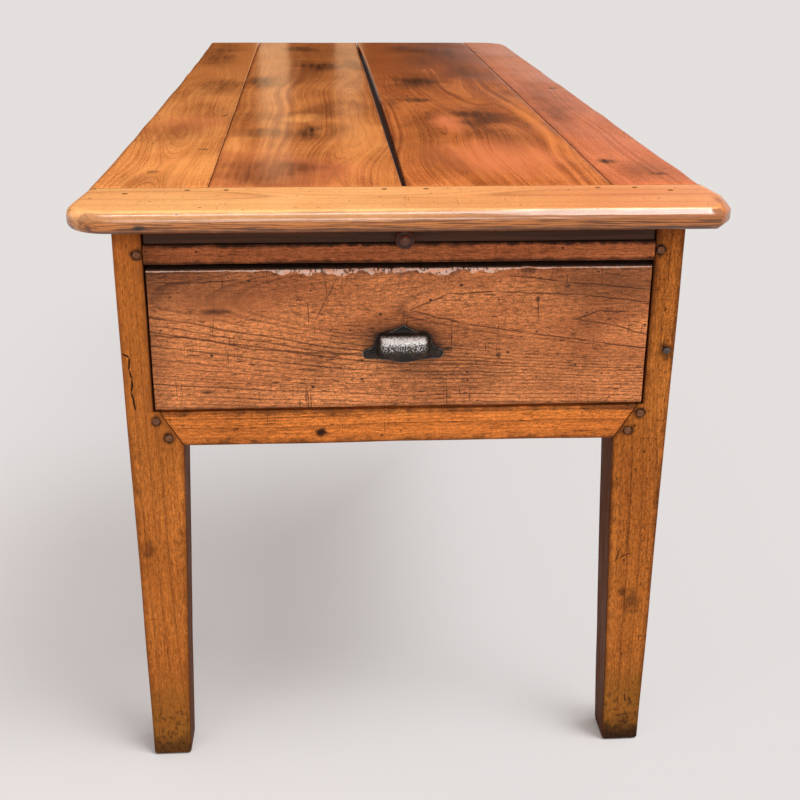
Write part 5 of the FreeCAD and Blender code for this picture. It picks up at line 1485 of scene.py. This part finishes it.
SCREW_INPUTS = {"Geometry": "geometry", "Radius": "value", "Dome": "value", "Turn": "vector",
                "Material": "material"}
SCREW_SLOT = (0.03, 0.0009, 0.0024)


def screw_tree(name):
    """Slotted round head on each point."""
    n, given, out = node_group(name, "GeometryNodeTree", SCREW_INPUTS, {"Geometry": "geometry"})
    radius, dome = given["Radius"], given["Dome"]
    ball = n.add("GeometryNodeMeshUVSphere", {"Segments": 20, "Rings": 12, "Radius": 1.0})
    head = n.add("GeometryNodeTransform", {"Geometry": ball.outputs["Mesh"],
                                           "Scale": n.combined(radius, radius, dome)})
    slot = n.add("GeometryNodeMeshCube", {"Size": SCREW_SLOT})
    raised = n.add("GeometryNodeTransform", {"Geometry": slot.outputs["Mesh"],
                                             "Translation": n.combined(z=dome)})
    cut = n.add("GeometryNodeMeshBoolean", {"Mesh 1": head.outputs[0], "Mesh 2": raised.outputs[0]},
                operation="DIFFERENCE")
    spun_copies(n, given, out, cut.outputs[0], 3.1, 8)
    return n.tree


def turned_rings(profile, centre, angles, uneven=1.0):
    """Rings about an axis along Y, from the place along it and the radius of each."""
    return np.array([np.stack([centre[X] + radius * uneven * np.cos(angles), np.full(len(angles), y),
                               centre[Z] + radius * uneven * np.sin(angles)], -1) for y, radius in profile])


# Heads of the pull's screws, and sides and unevenness of the forged nail
SCREW_HEAD = {"Radius": 0.0042, "Dome": 0.0021, "Turn": (QUARTER, 0, 0)}
PLATE = 0.0030
NAIL_SIDES = 7
NAIL_UNEVEN = 0.12


class TABLE_OT_pull(bpy.types.Operator):
    """Cast cup pull, its screws and the nail in the right leg"""

    bl_idname = "table.pull"
    bl_label = "Cup pull and nail"

    def execute(self, context):
        iron = iron_finish("pull_iron", bright=True)
        place_piece(pull_mesh("cast_pull"), "cast_cup_pull", "drawer", iron, ["cup_pull"])
        dark = made(bpy.data.materials, "nail_iron", iron_finish)
        centres = [centre_of(*box) for box in islands("pull_screws")]
        mesh = fixings("screw_heads", screw_tree("slotted_heads"),
                       [(x, FRAME_FRONT - PLATE, z) for x, _, z in centres], SCREW_HEAD | {"Material": dark})
        place_piece(mesh, "slotted_screws", "drawer", dark, ["pull_screws"])
        low, high = islands("leg_nail")[0]
        turn = np.linspace(0, 2 * math.pi, NAIL_SIDES, endpoint=False)
        half = (high[X] - low[X]) / 2
        profile = ((high[Y], half * 0.5), (FRAME_FRONT + 0.002, half * 0.5), (FRAME_FRONT - 0.0003, half),
                   (FRAME_FRONT - 0.0012, half * 0.86), (low[Y], half * 0.35))
        rings = turned_rings(profile, centre_of(low, high), turn, 1 + NAIL_UNEVEN * np.sin(turn * 2 + 1))
        mesh = skin("forged_nail", rings, np.zeros(rings.shape[:2]))
        mesh.polygons.foreach_set("use_smooth", np.zeros(len(mesh.polygons), bool))
        rusty = iron_finish("forged_iron", shade="rust")
        place_piece(mesh, "forged_leg_nail", "table", rusty, ["leg_nail"])
        return {"FINISHED"}


# Distance in front of the frame and radius along the turned knob, its sides, and the radius of its groove
KNOB = ((-0.010, 0.0050), (-0.0005, 0.0056), (0.0005, 0.0088), (0.0020, 0.0096), (0.0034, 0.0080),
        (0.0048, 0.0098), (0.0070, 0.0113), (0.0100, 0.0116), (0.0126, 0.0110), (0.0142, 0.0098),
        (0.0148, 0.0086), (0.0147, 0.0078), (0.0160, 0.0070), (0.0178, 0.0052), (0.0190, 0.0030),
        (0.0194, 0.0004))
KNOB_SIDES = 32
KNOB_GROOVE = 0.0082


def knob_finish(name, middle):
    """Dark polished knob, darker in its turned groove and lighter at its middle."""
    wood = Wood(name, Y, Z, "knob", "knob", "grime", ring_depth=0.3, fibre=0.2, speckle=0.3, edge_wear=0.0)
    n = wood.nodes
    flat = n.vector("MULTIPLY", n.vector("SUBTRACT", wood.place, middle), (1, 0, 1))
    out = n.length(flat)
    away = n.math("ABSOLUTE", n.minus(out, KNOB_GROOVE))
    wood.tinge(n.ease(away, 0.0004, 0.0013, 1.0, 0.0), "grime", 0.9)
    wood.tinge(n.ease(out, 0.0066, 0.0030, 0.0, 1.0), "peg", 0.32)
    return wood.finish(rough=(0.20, 0.30), bump=0.1, specular=0.25)


def slide_finish(name):
    """Plain wood of the bread slide, very dark on its front edge, with painted shade along the top of that
    edge.
    """
    wood = Wood(name, X, Y, "carcass", "carcass", "carcass_dark", shift=(0, 0.7, -0.73), ring_spacing=0.008,
                edge_wear=0.0)
    n = wood.nodes
    edge = wood.along(Y, -0.864, -0.8675, 0.001)
    wood.tinge(edge, "strip", 0.97)
    streaks = n.streaks(wood.place, (7, 300, 300), 4.0, 0.38, 0.68)
    wood.tinge(n.times(edge, streaks), "upper_rail_deep", 0.10)
    # Painted shade along the top of the front edge, under the top.
    wood.tinge(n.times(edge, wood.along(Z, 0.720, 0.7275, 0.006, 30.0)), "grime", 0.7)
    return wood.finish(rough=(0.5, 0.7), specular=0.15)


class TABLE_OT_slide(bpy.types.Operator):
    """Bread slide: three boards, its turned knob and its stop"""

    bl_idname = "table.slide"
    bl_label = "Bread slide"

    def execute(self, context):
        wood = slide_finish("slide_wood")
        for number in (1, 2, 3):
            node = f"slide_board_{number}"
            mesh = plank(f"slide_plank_{number}", X, *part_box(node), 0.0014, cells=(6, 3), seed=60 + number,
                         wander=0.6)
            place_piece(mesh, "worn_" + node, "bread_slide", wood, [node])
        x, _, z = centre_of(*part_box("slide_knob"))
        turn = np.linspace(0, 2 * math.pi, KNOB_SIDES, endpoint=False)
        rings = turned_rings([(FRAME_FRONT - out, radius) for out, radius in KNOB], on_front(x, z), turn)
        mesh = skin("turned_knob", rings, np.zeros(rings.shape[:2]))
        knob = knob_finish("knob_wood", (x, 0, z))
        place_piece(mesh, "turned_slide_knob", "bread_slide", knob, ["slide_knob"])
        finish_nodes(("slide_stop",), knob)
        return {"FINISHED"}


LENGTHWISE = ("drawer_guide_left", "drawer_guide_right", "drawer_runner_left", "drawer_runner_right",
              "slide_bearer_left", "slide_bearer_right", "slide_guide_left", "slide_guide_right",
              "glue_blocks")
CROSSWISE = ("cross_rail", "top_batten_middle", "top_batten_rear", "drawer_stops")


class TABLE_OT_inner_wood(bpy.types.Operator):
    """Runners, guides, battens and blocks inside the frame"""

    bl_idname = "table.inner_wood"
    bl_label = "Inner wood"

    def execute(self, context):
        finish_nodes(LENGTHWISE, plain_finish("lengthwise_wood", Y, Z))
        finish_nodes(CROSSWISE, plain_finish("crosswise_wood", X, Z))
        # Painted shade: the splines in the open joint are near black, like the shadow in the gap.
        finish_nodes(("top_splines",), plain_finish("spline_wood", Y, Z, "grime", "stain"))
        finish_nodes(("runner_nails", "batten_screws"), made(bpy.data.materials, "nail_iron", iron_finish))
        return {"FINISHED"}


# Stage

CAMERA_PLACE = (-0.0885, -2.264, 1.060)
CAMERA_PITCH = math.radians(21.49)
CAMERA_YAW = math.radians(3.58)
CAMERA_ROLL = math.radians(-0.36)
CAMERA_LENS = 55.53
CAMERA_SENSOR = 36.0

# Floor: how far it runs, where it is nearest and furthest and its tone there, how the plain share gives way
# near the feet, and where the shadow is faint
FLOOR_REACH = 60.0
NEAR_FLOOR = (-1.4, 2.5, 0.84, 1.07)
CONTACT_REACH = 0.30
CONTACT_LEAN = (0.7, -0.2, 0.7)
CONTACT_SHARE = (0.5, 0.95)
FAINT_BACK = (-0.35, 0.35)
FAINT_RIGHT = (-0.20, 0.20)
FAINT_SHARE = 0.84

# Dark card that the polish mirrors, and the lit windows in it: middle, width, top and share of the power
CARD_CORNERS = ((-9, 6, 0.3), (-0.9, 6, 0.3), (16.5, 6, 9), (-9, 6, 9))
CARD_SHADE = (0.012, 0.009, 0.007)
WINDOWS = {"left_window": (-0.40, 0.19, 2.0, 1.6), "right_window": (0.078, 0.17, 1.65, 0.8)}
WINDOW_Y = 5.9
WINDOW_SILL = 0.9
WINDOW_SHADE = (1.0, 0.66, 0.36)

# Strip over the drawer end: its place, what it faces and its size
STRIP = ((0.1, -1.25, 2.35), (0.0, -0.9, 0.6), (2.2, 0.4))


def add_camera():
    """Camera at the photograph's view."""
    data = bpy.data.cameras.new("photo_view")
    data.lens, data.sensor_width = CAMERA_LENS, CAMERA_SENSOR
    camera = new_object("photo_view", data)
    level = math.cos(CAMERA_PITCH)
    ahead = Vector((math.sin(CAMERA_YAW) * level, math.cos(CAMERA_YAW) * level, -math.sin(CAMERA_PITCH)))
    right = Vector((math.cos(CAMERA_YAW), -math.sin(CAMERA_YAW), 0))
    down = ahead.cross(right)
    across = right * math.cos(CAMERA_ROLL) + down * math.sin(CAMERA_ROLL)
    drop = down * math.cos(CAMERA_ROLL) - right * math.sin(CAMERA_ROLL)
    turn = Matrix((across, -drop, -ahead)).transposed()
    camera.matrix_world = Matrix.Translation(CAMERA_PLACE) @ turn.to_4x4()
    bpy.context.scene.camera = camera


def add_area(name, place, towards, size, power, shade=(1.0, 1.0, 1.0)):
    """Flat lamp facing a point."""
    data = bpy.data.lights.new(name, "AREA")
    data.color = shade
    data.shape, data.size, data.size_y, data.energy = "RECTANGLE", size[0], size[1], power
    lamp = new_object(name, data)
    lamp.location = place
    lamp.rotation_euler = (Vector(towards) - Vector(place)).to_track_quat("-Z", "Y").to_euler()


def add_sun(name, strength, spread, turn_x, turn_y):
    """Broad even light, its spread and turns in degrees."""
    data = bpy.data.lights.new(name, "SUN")
    data.energy, data.angle = strength, math.radians(spread)
    lamp = new_object(name, data)
    lamp.rotation_euler = Euler((math.radians(turn_x), math.radians(turn_y), 0))


def seen_rays(n):
    """1 for what the camera, a mirror or glass shows."""
    path = n.add("ShaderNodeLightPath").outputs
    mirrored = n.math("MAXIMUM", path["Is Glossy Ray"], path["Is Transmission Ray"])
    return n.math("MAXIMUM", path["Is Camera Ray"], mirrored)


def add_world(strength):
    """Even light from all round, seen by the camera and by mirroring surfaces as the pale backdrop."""
    world = bpy.data.worlds.new("plain_room")
    n = emptied(world)
    pale = (*bpy.context.scene.table_stage.floor, 1.0)
    room = n.add("ShaderNodeBackground", {"Color": pale, "Strength": strength}).outputs[0]
    seen = n.add("ShaderNodeBackground", {"Color": pale, "Strength": 1.0}).outputs[0]
    both = n.add("ShaderNodeMixShader", {0: seen_rays(n), 1: room, 2: seen}).outputs[0]
    n.add("ShaderNodeOutputWorld", {"Surface": both})
    bpy.context.scene.world = world


def flat_sheet(name, corners, material):
    """Flat stage card."""
    mesh = bpy.data.meshes.new(name)
    mesh.from_pydata(corners, [], [(0, 1, 2, 3)])
    mesh.materials.append(material)
    sheet = new_object(name, mesh)
    return sheet


def plain_share(n, even):
    """Share of the floor that shows its colour unlit: less in the shadow near the feet, more further off."""
    sideways, forward, _ = n.split(n.add("ShaderNodeTexCoord").outputs["Object"])
    faint = n.math("MAXIMUM", n.ease(forward, *FAINT_BACK), n.ease(sideways, *FAINT_RIGHT))
    share = n.times(seen_rays(n), n.plus(n.times(faint, FAINT_SHARE - even), even))
    open_side = n.add("ShaderNodeAmbientOcclusion", {"Distance": CONTACT_REACH,
                                                     "Normal": n.combined(*CONTACT_LEAN)}, samples=8)
    return n.times(share, n.ease(open_side.outputs["AO"], *CONTACT_SHARE))


def matt(name, shade, even=0.0):
    """Plain matt stage finish, part of which can show its colour unlit to the camera and to mirrors."""
    material = bpy.data.materials.new(name)
    n = emptied(material)
    forward = n.split(n.add("ShaderNodeTexCoord").outputs["Object"])[Y]
    surface = n.add("ShaderNodeBsdfDiffuse", {"Color": n.scaled((*shade,), n.ease(forward, *NEAR_FLOOR))})
    if even:
        plain = n.add("ShaderNodeEmission", {"Color": (*shade, 1.0), "Strength": 1.0})
        surface = n.add("ShaderNodeMixShader", {0: plain_share(n, even), 1: surface.outputs[0],
                                                2: plain.outputs[0]})
    n.add("ShaderNodeOutputMaterial", {"Surface": surface.outputs[0]})
    return material


class TABLE_OT_stage(bpy.types.Operator):
    """Pale floor, soft light and the camera of the photograph"""

    bl_idname = "table.stage"
    bl_label = "Studio"

    def execute(self, context):
        look = context.scene.table_stage
        context.scene.view_settings.view_transform = "Standard"
        add_world(look.sky)
        far = FLOOR_REACH
        flat_sheet("studio_floor", [(-far, -far, 0), (far, -far, 0), (far, far, 0), (-far, far, 0)],
                   matt("studio_floor", look.floor, look.even))
        dark = flat_sheet("dark_card", CARD_CORNERS, matt("dark_card", CARD_SHADE))
        dark.visible_camera = False
        dark.visible_shadow = False
        dark.visible_diffuse = False
        add_area("overhead_strip", *STRIP, look.key)
        for name, (x, width, top, share) in WINDOWS.items():
            add_area(name, (x, WINDOW_Y, (WINDOW_SILL + top) / 2), (x, 0.0, TOP_Z),
                     (width, top - WINDOW_SILL), look.window * share, WINDOW_SHADE)
        add_sun("side_light", look.sun, 26, 16, 25)
        add_sun("front_light", look.front, 20, 75, 0)
        add_camera()
        return {"FINISHED"}


OPERATORS = (TABLE_OT_top_boards, TABLE_OT_breadboard, TABLE_OT_legs, TABLE_OT_rails, TABLE_OT_aprons,
             TABLE_OT_pegs, TABLE_OT_drawer, TABLE_OT_pull, TABLE_OT_slide, TABLE_OT_inner_wood,
             TABLE_OT_stage)


class VIEW3D_PT_table(bpy.types.Panel):
    """Pieces of the table, in the order they are made"""

    bl_idname = "VIEW3D_PT_table"
    bl_label = "Farmhouse table"
    bl_space_type = "VIEW_3D"
    bl_region_type = "UI"
    bl_category = "Table"

    def draw(self, context):
        for operator in OPERATORS:
            self.layout.operator(operator.bl_idname)
        for group in ("table_sizes", "table_colours", "table_stage"):
            settings = getattr(context.scene, group)
            box = self.layout.box()
            for key in settings.__annotations__:
                box.prop(settings, key)


CLASSES = (TableSizes, TableColours, TableStage) + OPERATORS + (VIEW3D_PT_table,)


def register():
    for entry in CLASSES:
        bpy.utils.register_class(entry)
    bpy.types.Scene.table_sizes = PointerProperty(type=TableSizes)
    bpy.types.Scene.table_colours = PointerProperty(type=TableColours)
    bpy.types.Scene.table_stage = PointerProperty(type=TableStage)


def unregister():
    for name in ("table_sizes", "table_colours", "table_stage"):
        delattr(bpy.types.Scene, name)
    for entry in reversed(CLASSES):
        bpy.utils.unregister_class(entry)


def main():
    register()
    for operator in OPERATORS:
        group, name = operator.bl_idname.split(".")
        getattr(getattr(bpy.ops, group), name)()


if __name__ == "__main__":
    main()
